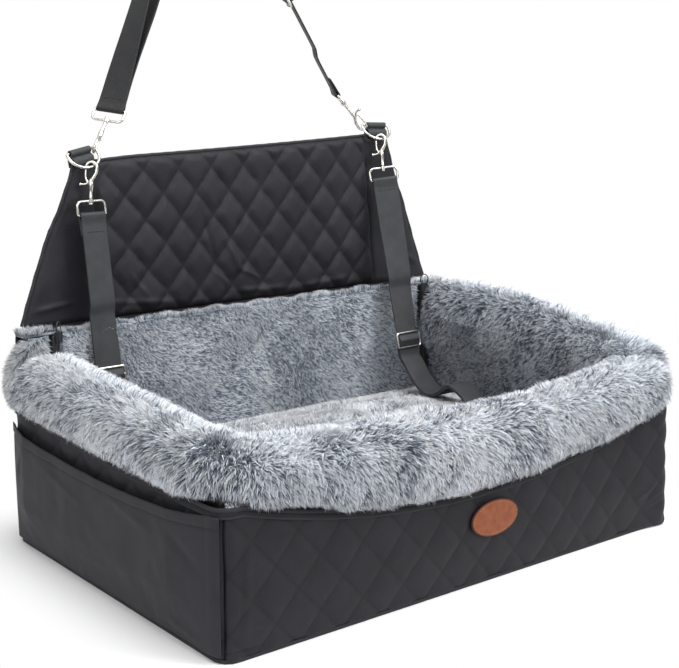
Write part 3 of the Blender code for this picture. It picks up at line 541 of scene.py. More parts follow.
def makePocket():
    ts = spacedValues(0.016, 0.993, 0.0045)
    vs = spacedValues(0, 1, 0.018)
    tt, vv = np.meshgrid(ts, vs, indexing="ij")
    hem = pocket["rim"] - pocket["sag"] * np.sin(pi * np.clip((tt - 0.04) / 0.92, 0, 1)) ** 0.8
    z = pocket["foot"] + vv * (hem - pocket["foot"])
    bulge = (
        walls["bulge"] * np.sin(pi * np.clip(z / 0.126, 0, 1)) * np.clip(8 * np.minimum(tt, 1 - tt), 0, 1)
    )
    inside = np.clip(np.minimum((tt - 0.035) / 0.10, (0.955 - tt) / 0.14), 0, 1)
    stand = pocket["seam"] + 0.0010 + bulge + pocket["gap"] * inside * np.clip(vv / 0.35, 0, 1)
    s = (tt - 0.5) * 0.38
    sway = 0.0011 * uneven(s, z, 0.07, 71) + 0.0004 * uneven(s, z, 0.018, 75, 2)
    sway = sway + creaseDepth(s, z, pocketCreases)
    drop = (1 - vv) * pocket["tall"]
    hemLine = np.exp(-(((drop - pocket["hem"]) / 0.0011) ** 2))
    depth = (
        stand + pocket["thickness"] + sway * np.clip(inside * 2 + 0.15, 0, 1)
        + 0.0006 * (drop < pocket["hem"]) - 0.0005 * hemLine
    )
    points = onWall("left", ts, -depth, z)
    piece = clothGrid(
        "pocketPanel", ts, vs, lambda i, j: points[i, j], lambda i, j: (s[i, j], z[i, j]), 0.35 * hemLine,
    )
    thicken(piece, pocket["thickness"])
    finish(piece, "basket", plainCloth, "plain_cloth", "left_pocket")
    row = int((1 - pocket["hem"] / pocket["tall"]) * (len(vs) - 1))
    stitchRow(
        "pocketHemStitches", points[2:-2, row] + np.array([-0.0002, 0, 0]),
        np.tile([-1.0, 0, 0], (len(ts) - 4, 1)),
    )


pocketCreases = [(-0.10, 0.100, -0.03, 0.085, 0.0010, 0.004), (0.02, 0.105, 0.10, 0.092, 0.0012, 0.004),
                 (0.12, 0.100, 0.17, 0.075, -0.0012, 0.005), (-0.15, 0.100, -0.17, 0.060, 0.0012, 0.004),
                 (-0.06, 0.030, 0.02, 0.036, 0.0008, 0.006), (0.11, 0.020, 0.17, 0.012, 0.0014, 0.004)]
makePocket()
print("pocket made")


# Zip below the fur: folded tape with a coil along its middle
band = {"height": 0.0086, "stand": 0.0012, "coil": 0.0022, "step": 0.003}


def zipTrack():
    track = []
    for side in ("left", "front", "right"):
        run = walls["width"] if side == "front" else walls["depth"]
        for t in spacedValues(0.0, 1.0, band["step"] / run):
            if track and t == 0:
                continue
            x, y, way = wallSpot(side, t)
            track.append((np.array([x, y, seamHeight(side, x, y) - 0.0002]), np.array(way)))
    return track


def makeZipBand():
    track = zipTrack()
    profile = [
        (-1.0, 0.0), (-0.97, 0.9), (-0.9, 1.25), (-0.75, 1.1), (-0.62, 0.55), (-0.5, 0.9), (-0.38, 0.55),
        (-0.2, 0.9), (0.0, 0.6), (0.12, 0.1),
    ]
    run = np.concatenate([[0], np.cumsum([np.linalg.norm(b[0] - a[0]) for a, b in zip(track, track[1:])])])
    points = [
        [
            p + out * band["stand"] * d * (1 + 0.25 * sin(run[i] * 60))
            + np.array([0, 0, h * band["height"]])
            for h, d in profile
        ]
        for i, (p, out) in enumerate(track)
    ]
    seams = [[0.8 if -0.68 < h < -0.3 or h < -0.98 else 0 for h, d in profile] for _ in track]
    piece = clothGrid(
        "zipBand", run, [h * band["height"] for h, d in profile], lambda i, j: points[i][j], seams=seams,
    )
    thicken(piece, 0.0008)
    finish(piece, "basket", plainCloth, "zip_tape", "rim_zip_tape")
    work = bmesh.new()
    for start in np.arange(0.01, run[-1] - 0.01, band["coil"]):
        i = int(np.searchsorted(run, start))
        p, out = track[i]
        way = track[min(i + 1, len(track) - 1)][0] - track[i - 1][0]
        way = way / np.linalg.norm(way)
        p = track[i - 1][0] + (p - track[i - 1][0]) * (start - run[i - 1]) / (run[i] - run[i - 1])
        middle = p + out * band["stand"] * 0.95 + np.array([0, 0, -0.5 * band["height"]])
        up = np.cross(out, way)
        for vert in bmesh.ops.create_cube(work, size=1)["verts"]:
            a, b, c = vert.co
            squeeze = 1 - 0.35 * (c > 0)
            vert.co = Vector(
                middle + way * a * 0.0012 * squeeze + up * b * 0.0017 * squeeze + out * c * 0.0008
            )
    closeMesh(work)
    finish(pieceFrom("zipCoilTeeth", work), "basket", zipCoil, "zip_tape")


makeZipBand()
print("zip band made")


# Leather badge: a domed oval with a burnished edge and a stitched line
badge = {"width": 0.062, "height": 0.036, "thickness": 0.0021, "x": 0.0215, "z": 0.064, "stitchIn": 0.0026}


def makeBadge():
    work = bmesh.new()
    made = bmesh.ops.create_circle(work, cap_ends=True, segments=72, radius=1.0)["verts"]
    wallY = -walls["depth"] / 2 - walls["bulge"] - 0.0004
    rings = [
        (1.0, 0.0), (1.0, 0.0012), (0.985, 0.0018), (0.955, badge["thickness"]), (0.90, 0.00195),
        (0.86, 0.0021), (0.5, 0.0024), (0.2, 0.0025),
    ]
    for vert in made:
        vert.co = (
            badge["x"] + vert.co.x * badge["width"] / 2, wallY,
            badge["z"] + vert.co.y * badge["height"] / 2,
        )
    for k, (scale, rise) in enumerate(rings[1:]):
        if k == 0:
            out = bmesh.ops.extrude_face_region(work, geom=work.faces[:])
            top = [g for g in out["geom"] if isinstance(g, bmesh.types.BMFace)][0]
        else:
            bmesh.ops.inset_region(work, faces=[top], thickness=1e-5, use_even_offset=False)
        for vert in top.verts[:]:
            angle = atan2(
                (vert.co.z - badge["z"]) / badge["height"], (vert.co.x - badge["x"]) / badge["width"],
            )
            vert.co = (
                badge["x"] + cos(angle) * scale * badge["width"] / 2, wallY - rise,
                badge["z"] + sin(angle) * scale * badge["height"] / 2,
            )
    closeMesh(work)
    mark = work.verts.layers.float.new("seam")
    for vert in work.verts:
        reach = hypot(
            (vert.co.x - badge["x"]) / badge["width"] * 2, (vert.co.z - badge["z"]) / badge["height"] * 2,
        )
        vert[mark] = 1.0 if reach > 0.975 else 0.55 if reach > 0.94 else 0.0
    for face in work.faces:
        face.smooth = True
    finish(pieceFrom("ovalBadge", work), "basket", leather, "tan_leather", "badge")
    halfX, halfZ = badge["width"] / 2 - badge["stitchIn"], badge["height"] / 2 - badge["stitchIn"]
    turns = np.linspace(0, 2 * pi, 90)
    ring = [(badge["x"] + cos(a) * halfX, wallY - 0.0021, badge["z"] + sin(a) * halfZ) for a in turns]
    stitchRow(
        "badgeStitches", ring, [(0, -1, 0)] * len(ring), length=0.0015, spacing=0.0022, radius=0.00022,
        material=tanThread, slotName="tan_leather",
    )


makeBadge()
print("badge made")


# Fur: every tuft is a closed three-sided spike, bent over along the lie of the pile
# A grid of points with its normals and the lie of the pile at each
class Surface:
    def __init__(self, points, lie, outwards=1):
        self.points = np.asarray(points, float)
        du = np.gradient(self.points, axis=0)
        dv = np.gradient(self.points, axis=1)
        normal = np.cross(du, dv) * outwards
        self.normal = normal / np.maximum(np.linalg.norm(normal, axis=2, keepdims=True), 1e-12)
        lie = np.asarray(lie, float)
        lie = lie - self.normal * np.sum(lie * self.normal, axis=2, keepdims=True)
        self.lie = lie / np.maximum(np.linalg.norm(lie, axis=2, keepdims=True), 1e-12)

    def scatter(self, count, rng, weight=None):
        p = self.points
        area = np.linalg.norm(np.cross(p[1:, :-1] - p[:-1, :-1], p[:-1, 1:] - p[:-1, :-1]), axis=2)
        if weight is not None:
            area = area * weight[:-1, :-1]
        total = np.cumsum(area.ravel())
        picks = (np.arange(count) + rng.random(count)) / count * total[-1]
        cell = np.minimum(np.searchsorted(total, picks), area.size - 1)
        i, j = cell // area.shape[1], cell % area.shape[1]
        a, b = rng.random(count)[:, None], rng.random(count)[:, None]

        def between(g):
            return (
                (g[i, j] * (1 - a) + g[i + 1, j] * a) * (1 - b)
                + (g[i, j + 1] * (1 - a) + g[i + 1, j + 1] * a) * b
            )

        unit = lambda v: v / np.maximum(np.linalg.norm(v, axis=1, keepdims=True), 1e-12)
        return between(p), unit(between(self.normal)), unit(between(self.lie))


# A surface whose normals point the given way on the whole
def facing(points, lie, way):
    surface = Surface(points, lie)
    if np.sum(surface.normal * way) < 0:
        surface = Surface(points, lie, -1)
    return surface


zipPlace = (0.2508, 0.1588)
# the dark root colours are partly the fur's own and partly painted shade deep in the pile
furColours = {
    "root": "#6a7585", "middle": "#bcc5d2", "tip": "#f2f6fc", "fleckRoot": "#262e3b", "fleckTip": "#5b6778",
}
straightFaces = [[0, 2, 1], [0, 1, 3], [1, 2, 3], [2, 0, 3]]
bentFaces = [
    [0, 2, 1], [0, 1, 4], [0, 4, 3], [1, 2, 5], [1, 5, 4], [2, 0, 3], [2, 3, 5], [3, 4, 6], [4, 5, 6],
    [5, 3, 6],
]


# Grows a piece of pile: straight tufts have 4 faces and bent ones 10, and lean and swirl are in degrees.
# light is painted light and shade: a factor on the tuft colours for the region or for each point
def growFur(
    name, surface, count, seed, length, width, lean, bent=False, swirl=35, clump=7, pull=0.35, light=1.0,
    fleck=0.22, weight=None, stray=0.4, spread=0.35,
):
    rng = np.random.default_rng(seed)
    root, normal, lie = surface.scatter(count, rng, weight)
    # the corner zips stay clear of pile
    apart = np.hypot(abs(root[:, 0]) - zipPlace[0], root[:, 1] - zipPlace[1])
    clear = (apart > 0.006 + 0.7 * length) | (root[:, 2] < 0.1)
    root, normal, lie = root[clear], normal[clear], lie[clear]
    count = len(root)
    across = np.cross(normal, lie)
    turn = (
        np.radians(swirl)
        * (1.2 * softNoise(root, 0.045, seed // 10) + 0.8 * softNoise(root, 0.014, seed // 10 + 3))
        + rng.normal(0, stray, count)
    )
    way = lie * np.cos(turn)[:, None] + across * np.sin(turn)[:, None]
    parting = softNoise(root, 0.034, 7) + 0.7 * softNoise(root, 0.012, 12)
    tilt = np.radians(lean + 14 * softNoise(root, 0.022, 17) + rng.normal(0, 10, count))
    reach = length * (0.78 + 0.40 * rng.random(count) + 0.12 * softNoise(root, 0.02, 21))
    tip = root + (normal * np.cos(tilt)[:, None] + way * np.sin(tilt)[:, None]) * reach[:, None]
    centres = rng.choice(count, max(1, count // clump), replace=False)
    tree = KDTree(len(centres))
    for k, index in enumerate(centres):
        tree.insert(Vector(root[index]), k)
    tree.balance()
    nearest = np.array([centres[tree.find(Vector(p))[1]] for p in root])
    tug = pull * (0.5 + 1.0 * rng.random(count))[:, None]
    tip = tip + (tip[nearest] - tip) * tug
    along = normed(tip - root)
    side = np.cross(along, normal) + rng.normal(0, spread, (count, 3))
    side = normed(side - along * np.sum(side * along, axis=1, keepdims=True))
    out = np.cross(side, along)
    out = out * np.sign(np.sum(out * normal, axis=1, keepdims=True) + 1e-9)
    thick = (width * (0.7 + 0.6 * rng.random(count)))[:, None]
    low = root - normal * 0.0010
    points = [low - side * thick * 0.5, low + side * thick * 0.5, low + out * thick * 0.5]
    if bent:
        middle = root + normal * (reach * 0.42)[:, None] + way * (reach * 0.20)[:, None]
        middle = middle + (middle[nearest] - middle) * tug * 0.35
        points += [middle - side * thick * 0.42, middle + side * thick * 0.42, middle + out * thick * 0.36]
    points = np.stack([*points, tip], axis=1)
    size = points.shape[1]
    one = np.array(bentFaces if bent else straightFaces)
    faces = one[None] + (np.arange(count) * size)[:, None, None]
    turned = np.sum(np.cross(side, out) * along, axis=1) < 0
    faces[turned] = faces[turned][:, :, ::-1]
    # dark tufts come in small clusters, mostly where the pile parts
    score = 0.70 * softNoise(root, 0.0030, 41) + 0.40 * parting + rng.normal(0, 0.40, count)
    isFleck = score > np.quantile(score, 1 - fleck)
    # painted light and shade: the tuft colours are scaled brighter or darker by place
    glow = light(root)[:, None] if callable(light) else light
    tone = {key: np.array(toLinear(value)) * glow for key, value in furColours.items()}
    shade = (1 + 0.10 * rng.normal(0, 1, count) + 0.10 * softNoise(root, 0.06, 30))[:, None]
    # painted shade: roots and middles are darker where the pile parts
    partingShade = np.clip(1.0 - 0.20 * np.clip(parting, 0, 1.5), 0.4, 1)[:, None]
    rootTone = np.where(isFleck[:, None], tone["fleckRoot"], tone["root"]) * partingShade
    middleTone = (
        np.where(isFleck[:, None], (tone["fleckRoot"] + tone["fleckTip"]) / 2, tone["middle"]) * shade
        * (0.5 + 0.5 * partingShade)
    )
    tipTone = np.where(isFleck[:, None], tone["fleckTip"], tone["tip"]) * shade
    rows = [rootTone] * 3 + [middleTone] * (3 if bent else 0) + [tipTone]
    colour = np.clip(np.concatenate([np.stack(rows, axis=1), np.ones((count, size, 1))], axis=2), 0, 1)
    mesh = bpy.data.meshes.new(name)
    mesh.vertices.add(count * size)
    mesh.vertices.foreach_set("co", points.astype(np.float32).ravel())
    mesh.loops.add(faces.size)
    mesh.loops.foreach_set("vertex_index", faces.astype(np.int32).ravel())
    mesh.polygons.add(faces.size // 3)
    mesh.polygons.foreach_set("loop_start", np.arange(faces.size // 3, dtype=np.int32) * 3)
    mesh.polygons.foreach_set("use_smooth", np.ones(faces.size // 3, bool))
    mesh.update(calc_edges=True)
    layer = mesh.color_attributes.new("furTone", "FLOAT_COLOR", "POINT")
    layer.data.foreach_set("color", colour.astype(np.float32).ravel())
    # normals lean on the backing's own, so the pile shades as one soft surface
    soft = np.repeat(normal[:, None], size, 1) * 0.75
    for k in range(0, size - 1, 3):
        soft[:, k] -= side * 0.45
        soft[:, k + 1] += side * 0.45
    soft[:, -1] += along * 0.25
    mesh.normals_split_custom_set_from_vertices(normed(soft).reshape(-1, 3).tolist())
    return finish(addPiece(name, mesh), "basket", furPile, "plush_fur")


# Fur rim: one soft roll round the front and both sides
rim = {
    "width": 0.068, "offset": 0.018, "corner": 0.045, "frontTop": 0.172, "cornerTop": 0.190,
    "leftTop": 0.188, "leftRearTop": 0.216, "rightTop": 0.230, "rearEnd": 0.150, "slant": 0.044,
    "pile": 0.0062, "step": 0.0035,
}


def rimTop(side, x, y):
    if side == "front":
        return rim["frontTop"] + (rim["cornerTop"] - rim["frontTop"]) * (abs(x) / (walls["width"] / 2)) ** 2
    run = (y + walls["depth"] / 2) / walls["depth"]
    if side == "left":
        return (
            rim["cornerTop"] + (rim["leftTop"] - rim["cornerTop"]) * min(run * 4, 1)
            + (rim["leftRearTop"] - rim["leftTop"]) * run**3
        )
    return rim["cornerTop"] + (rim["rightTop"] - rim["cornerTop"]) * sin(pi / 2 * min(run * 1.25, 1))


# Centre, direction, lower and upper height of the rim at close steps from its left end to its right end
def rimStations():
    halfX, halfY = walls["width"] / 2 - rim["offset"], walls["depth"] / 2 - rim["offset"]
    r = rim["corner"]
    close = rim["rearEnd"] - 0.016 * (1 - np.cos(np.linspace(0, pi / 2, 14)))
    line = (
        [("left", -halfX, y) for y in close]
        + [("left", -halfX, y) for y in spacedValues(close[-1], -halfY + r, rim["step"])[1:]]
    )
    for a in np.linspace(pi, 1.5 * pi, 20)[1:]:
        line.append(
            ("left" if a < 1.25 * pi else "front", -halfX + r + r * cos(a), -halfY + r + r * sin(a))
        )
    line += [("front", x, -halfY) for x in spacedValues(-halfX + r, halfX - r, rim["step"])[1:]]
    for a in np.linspace(-0.5 * pi, 0, 20)[1:]:
        line.append(
            ("front" if a < -0.25 * pi else "right", halfX - r + r * cos(a), -halfY + r + r * sin(a))
        )
    line += (
        [("right", halfX, y) for y in spacedValues(-halfY + r, close[-1], rim["step"])[1:]]
        + [("right", halfX, y) for y in close[::-1][1:]]
    )
    return line


rimCorner = rim["rearEnd"] + walls["depth"] / 2 - rim["offset"] - rim["corner"] + rim["corner"] * pi / 4


def makeRimSurface():
    line = rimStations()
    centre = np.array([(x, y) for _, x, y in line])
    ahead = normed(np.gradient(centre, axis=0))
    outward = np.stack([ahead[:, 1], -ahead[:, 0]], axis=1)
    run = distances(centre)
    turns = 44
    points, lie = [], []
    for i, (side, x, y) in enumerate(line):
        low = seamHeight(side, x, y) + 0.0034
        high = rimTop(side, x, y)
        spot = np.array([[x, y, 0]])
        lump = layered(spot, 0.075, 91, 2)[0]
        dent = sum(
            depth * np.exp(-(((run[i] - where) / span) ** 2)) for where, depth, span in rimDents(run[-1])
        )
        swell = 0.008 * np.exp(-(((run[-1] - run[i] - rimCorner) / 0.055) ** 2))
        low += 0.004 * np.exp(-(((run[i] - rimCorner - 0.045) / 0.045) ** 2))
        end = min(run[i], run[-1] - run[i])
        dome = np.sqrt(max(0.004, 1 - max(0, 1 - end / 0.016) ** 2))
        half = (rim["width"] / 2 - rim["pile"] * 0.55 + 0.0016 * lump - dent) * (0.04 + 0.96 * dome)
        high = high - rim["pile"] * 0.8 + 0.0025 * lump - 1.3 * dent - 0.016 * (1 - dome)
        low = low + 0.006 * (1 - dome)
        ring, ringLie = [], []
        for k in range(turns + 1):
            a = -pi / 2 + 2 * pi * k / turns
            c, s = cos(a), sin(a)
            square = 0.78 if s > 0 else 0.62
            off = half * np.sign(c) * abs(c) ** square
            if c > 0:
                off += swell * c
            if side == "right" and c < 0:
                off *= 0.80 - 0.16 * (s < 0) * abs(s)
            rise = (low + high) / 2 + (high - low) / 2 * np.sign(s) * abs(s) ** (0.80 if s > 0 else 0.55)
            slide = rim["slant"] * (1 - (rise - low) / (high - low)) * max(0, 1 - end / 0.10) ** 1.5
            endWay = -1 if run[i] < run[-1] / 2 else 1
            p = np.array([*(np.array([x, y]) + outward[i] * off + ahead[i] * endWay * slide), rise])
            ring.append(p)
            # the pile falls away from the crest on both sides
            drop = np.array([*(outward[i] * np.sign(c)), -0.9 - 0.8 * abs(c)])
            ringLie.append(drop)
        points.append(ring)
        lie.append(ringLie)
    points, lie = np.array(points), np.array(lie)
    surface = facing(points, lie, points - points.mean(axis=1, keepdims=True))
    lumps = 0.0024 * layered(points.reshape(-1, 3), 0.040, 97, 3).reshape(points.shape[:2])
    lumps[:, -1] = lumps[:, 0]
    surface.points = points + surface.normal * lumps[:, :, None]
    return surface, run, [side for side, _, _ in line]


# Where the roll is drawn in, as at its corner seams: place along the rim, depth and width
def rimDents(length):
    return [
        (rimCorner, 0.0015, 0.010), (length - rimCorner, 0.0035, 0.008), (0.10, 0.0015, 0.012),
        (rimCorner + 0.12, 0.0020, 0.014), (length - rimCorner - 0.16, 0.0025, 0.012),
        (length - 0.12, 0.0015, 0.015),
    ]


rimSurface, rimRun, rimSides = makeRimSurface()


# A closed roll from rings of points, its ends capped
def makeRoll(name, points, smooth):
    closedRings = np.concatenate([points[:, :-1], points[:, :1]], axis=1)
    piece = clothGrid(name, range(points.shape[0]), range(points.shape[1]), lambda i, j: closedRings[i, j])
    work = bmesh.new()
    work.from_mesh(piece.data)
    bmesh.ops.remove_doubles(work, verts=work.verts, dist=1e-7)
    caps = bmesh.ops.holes_fill(work, edges=[edge for edge in work.edges if edge.is_boundary])["faces"]
    if smooth:
        bmesh.ops.poke(work, faces=caps)
    closeMesh(work)
    for face in work.faces:
        face.smooth = smooth
    work.to_mesh(piece.data)
    work.free()
    return piece


def makeRimCore():
    piece = finish(
        makeRoll("rimRoll", rimSurface.points, True), "basket", backing, "plush_fur", "rim_front",
        "rim_left", "rim_right",
    )
    return piece


makeRimCore()


def cutSurface(surface, first, last):
    part = Surface.__new__(Surface)
    part.points, part.normal, part.lie = (
        g[first:last] for g in (surface.points, surface.normal, surface.lie)
    )
    return part


pile = {"count": 36000, "length": 0.0076, "width": 0.00105, "lean": 29}
guardHairs = {"count": 7000, "length": 0.0100, "width": 0.00095, "lean": 42, "bent": True, "pull": 0.4}


# Painted light and shade over the rim's pile, as factors on its colours: brightest at the middle of the
# front and towards the back
def rimPaintedLight(p):
    front = np.interp(
        p[:, 0], [-0.285, -0.24, -0.17, -0.02, 0.12, 0.22, 0.27], [1.15, 1.0, 1.0, 1.30, 1.20, 1.02, 1.0],
    )
    back = np.where(p[:, 0] < 0, 1.25, 1.10)
    share = np.clip((p[:, 1] + 0.16) / 0.08, 0, 1)
    return front * (1 - share) + back * share


def coverRim():
    m = len(rimRun)
    front = [k for k, side in enumerate(rimSides) if side == "front"]
    middle = (front[0] + front[-1]) // 2
    parts = [
        ("Left", 0, front[0] + 1), ("FrontLeft", front[0], middle + 1),
        ("FrontRight", middle, front[-1] + 2), ("Right", front[-1] + 1, m),
    ]
    around = np.linspace(0, 1, rimSurface.points.shape[1])
    hidden = 1 - 0.85 * np.exp(-((around / 0.04) ** 2)) - 0.85 * np.exp(-(((around - 1) / 0.04) ** 2))
    for k, (name, first, last) in enumerate(parts):
        part = cutSurface(rimSurface, first, last)
        weight = np.tile(np.clip(hidden, 0.1, 1), (last - first, 1))
        growFur(f"rimFur{name}", part, seed=200 + k, weight=weight, light=rimPaintedLight, **pile)
        growFur(f"rimGuard{name}", part, seed=210 + k, weight=weight, light=rimPaintedLight, **guardHairs)


coverRim()
print("fur rim grown")


# Linings of the walls, with shorter pile
lining = {"inset": 0.0286, "foot": 0.060, "stand": 0.0035}


def liningSurface(side):
    inset = lining["inset"] + lining["stand"]
    if side == "rear":
        half = walls["width"] / 2 - inset - 0.0095
        x, z = np.meshgrid(
            spacedValues(-half, half, 0.005),
            spacedValues(lining["foot"], walls["rearHeight"] + 0.001, 0.005), indexing="ij",
        )
        v = (z - lining["foot"]) / (walls["rearHeight"] - lining["foot"])
        swell = (
            0.004 * np.sin(pi * np.clip(v, 0, 0.96)) * (1 - (x / half) ** 4)
            + 0.0024 * uneven(x, z, 0.06, 131, 2)
        )
        points = np.stack([x, walls["depth"] / 2 - inset - swell, z], axis=2)
        return facing(points, np.tile([0.15, -0.2, -1.0], (*x.shape, 1)), np.array([0, -1, 0]))
    rise = 0.055 if side == "right" else 0.012
    first, last = (0.03, 0.955) if side == "right" else (0.03, 0.97)
    ts = spacedValues(first, last, 0.013)
    vs = np.linspace(0, 1, 24 if side == "right" else 16)
    base = [wallPoint(side, t, 0) for t in ts]
    tops = np.array([seamHeight(side, x, y) + rise for x, y in base])
    z = lining["foot"] + vs[None] * (tops[:, None] - lining["foot"])
    along = np.tile(
        (ts * (walls["depth"] if side in ("left", "right") else walls["width"]))[:, None], (1, len(vs)),
    )
    extra = 0.0022 * uneven(along, z, 0.05, 141, 2)
    if side == "right":
        extra = (
            extra + 0.006 * np.sin(pi * vs)[None] + 0.012 * vs[None] ** 2
            + creaseDepth(along, z, liningFolds)
        )
    points = onWall(side, ts, inset + extra, z)
    inward = -np.array([points[:, :, 0].mean(), points[:, :, 1].mean(), 0])
    return facing(points, np.tile([0.0, 0.0, -1.0], (*z.shape, 1)), inward)


liningFolds = [(0.10, 0.062, 0.085, 0.120, -0.0030, 0.006), (0.17, 0.062, 0.18, 0.150, 0.0030, 0.010),
               (0.26, 0.070, 0.24, 0.160, -0.0030, 0.008), (0.055, 0.090, 0.075, 0.150, 0.0025, 0.006)]


def backedSheet(name, surface, thickness, nodes):
    p = surface.points
    piece = clothGrid(
        name, np.arange(p.shape[0]) * 0.005, np.arange(p.shape[1]) * 0.005, lambda i, j: p[i, j],
    )
    piece.data.update()
    agree = sum(
        (np.array(poly.normal) @ surface.normal[p.shape[0] // 2, p.shape[1] // 2])
        for poly in piece.data.polygons
    )
    if agree < 0:
        piece.data.flip_normals()
    thicken(piece, thickness)
    return finish(piece, "basket", backing, "plush_fur", *nodes)


shortHair = {"clump": 4, "pull": 0.2, "swirl": 90, "stray": 0.9}
# Painted light and shade on the linings: the rear lining brightens towards the right, and the right lining
# is darkened by its light factor and more dark flecks, partly for the shade on it and partly for its darker
# pile
shortPile = {
    "rear": {
        "count": 36000, "light": lambda p: np.interp(p[:, 0], [-0.20, 0.05, 0.25], [1.65, 1.9, 2.4]),
        "fleck": 0.22,
    },
    "right": {"count": 26000, "light": 0.62, "fleck": 0.42},
    "left": {"count": 9000, "light": 0.80, "fleck": 0.35},
    "front": {"count": 9000, "light": 0.85, "fleck": 0.35},
}
for k, (side, values) in enumerate(shortPile.items()):
    surface = liningSurface(side)
    backedSheet(f"lining{side.capitalize()}", surface, 0.004, [f"{side}_lining"])
    growFur(
        f"liningFur{side.capitalize()}", surface, seed=301 + k, length=0.0060, width=0.00110, lean=32,
        **values, **shortHair,
    )


cornerPatch = {
    "start": (0.2560, 0.1600), "end": (0.2800, 0.1560), "low": 0.125, "high": 0.218, "step": 0.005,
    "bow": 0.004,
}


# Pile that stands up along the rear wall's top edge, and the fur between each corner zip and the rim
def makeEdgePile():
    half = walls["width"] / 2 - lining["inset"] - 0.009
    y0 = walls["depth"] / 2 - lining["inset"] - lining["stand"]
    x, v = np.meshgrid(spacedValues(-half, half, 0.004), np.linspace(0, 1, 5), indexing="ij")
    wave = 0.0012 * np.sin(x * 90) + 0.0008 * np.sin(x * 210)
    points = np.stack(
        [x, y0 - 0.002 + 0.009 * v, walls["rearHeight"] + 0.0005 + wave + 0.0012 * np.sin(pi * v)], axis=2,
    )
    surface = facing(points, np.tile([0.0, 1.0, 0.1], (*x.shape, 1)), np.array([0, 0, 1]))
    backedSheet("liningTopEdge", surface, 0.002, [])
    # its light factor darkens this pile: painted shade
    growFur(
        "liningFurTop", surface, count=9000, seed=331, length=0.0054, width=0.0011, lean=38, fleck=0.40,
        light=0.72, **shortHair,
    )
    for k, (side, sign) in enumerate((("Left", -1), ("Right", 1))):
        start, end = cornerPatch["start"], cornerPatch["end"]
        zs = spacedValues(cornerPatch["low"], cornerPatch["high"], cornerPatch["step"])
        u, z = np.meshgrid(np.linspace(0, 1, 9), zs, indexing="ij")
        bow = cornerPatch["bow"] * np.sin(pi * u)
        points = np.stack(
            [sign * (start[0] + (end[0] - start[0]) * u), start[1] + (end[1] - start[1]) * u - bow, z],
            axis=2,
        )
        corner = facing(points, np.tile([0.0, 0.0, -1.0], (*u.shape, 1)), np.array([0, -1, 0]))
        backedSheet(f"cornerLining{side}", corner, 0.002, [])
        # its light factor brightens this pile: painted light
        growFur(
            f"cornerFur{side}", corner, count=3000, seed=333 + k, length=0.0085, width=0.0011, lean=40,
            fleck=0.3, light=1.15, **shortHair,
        )
        # the corner's fur turns over the wall's top beside the flap
        x, y = np.meshgrid(
            spacedValues(0.247, 0.2825, 0.004), spacedValues(0.163, 0.181, 0.004), indexing="ij",
        )
        top = facing(
            np.stack([sign * x, y, 0 * x + walls["rearHeight"] + 0.0005], axis=2),
            np.tile([sign * 0.6, -0.6, -0.4], (*x.shape, 1)), np.array([0, 0, 1]),
        )
        backedSheet(f"cornerTop{side}", top, 0.002, [])
        # its light factor brightens this pile: painted light
        growFur(
            f"cornerTopFur{side}", top, count=1500, seed=337 + k, length=0.0085, width=0.0011, lean=42,
            fleck=0.3, light=1.1, **{**shortHair, "swirl": 60},
        )


makeEdgePile()
print("linings grown")


# Seat cushion
cushion = {
    "halfX": 0.2494, "halfY": 0.1574, "edgeTop": 0.090, "crown": 0.1035, "channel": 0.0022, "pitch": 0.050,
}


def cushionSurface():
    x, y = np.meshgrid(spacedValues(-1, 1, 0.016), spacedValues(-1, 1, 0.022), indexing="ij")
    px, py = cushion["halfX"] * x * 0.985, cushion["halfY"] * y * 0.985
    top = cushion["edgeTop"] + (cushion["crown"] - cushion["edgeTop"]) * (1 - x**4) * (1 - y**4)
    top = top - cushion["channel"] * (0.5 + 0.5 * np.cos(2 * pi * py / cushion["pitch"])) ** 6 * (1 - x**6)
    top = top + 0.0014 * uneven(px, py, 0.05, 151, 2)
    points = np.stack([px, py, top], axis=2)
    lie = np.stack([0 * x - 0.8, -0.6 + 0.3 * np.sin(9 * x), 0 * x], axis=2)
    return facing(points, lie, np.array([0, 0, 1]))


def makeCushion():
    surface = cushionSurface()
    p = surface.points
    m, n = p.shape[:2]
    piece = clothGrid("seatCushion", np.linspace(0, 0.49, m), np.linspace(0, 0.31, n), lambda i, j: p[i, j])
    work = bmesh.new()
    work.from_mesh(piece.data)
    rim0 = [edge for edge in work.edges if edge.is_boundary]
    for level, pinch in ((0.080, 1.012), (0.068, 1.010), (0.0574, 0.985)):
        out = bmesh.ops.extrude_edge_only(work, edges=rim0)["geom"]
        rim0 = [g for g in out if isinstance(g, bmesh.types.BMEdge) and g.is_boundary]
        for vert in {v for edge in rim0 for v in edge.verts}:
            vert.co.z = level
            vert.co.x, vert.co.y = vert.co.x * pinch, vert.co.y * pinch
    bmesh.ops.contextual_create(work, geom=rim0)
    closeMesh(work)
    for face in work.faces:
        face.smooth = True
    work.to_mesh(piece.data)
    work.free()
    finish(piece, "basket", backing, "plush_fur", "seat_cushion", "base_foam")
    for k, (first, last) in enumerate(((0, m // 2 + 1), (m // 2, m))):
        half = cutSurface(surface, first, last)
        # its light factor brightens the cushion's pile: painted light
        growFur(
            f"cushionFur{k + 1}", half, count=34000, seed=320 + k, length=0.0055, width=0.00115, lean=40,
            fleck=0.12, light=1.7, **shortHair,
        )


makeCushion()
print("cushion grown")


# Fur strips that turn round the rear corners
stripPath = [
    (0.277, 0.163, 0.214), (0.283, 0.173, 0.202), (0.286, 0.188, 0.181), (0.285, 0.199, 0.160),
    (0.281, 0.203, 0.141),
]
strip = {"radius": 0.0062, "turns": 14, "sunk": 0.004}


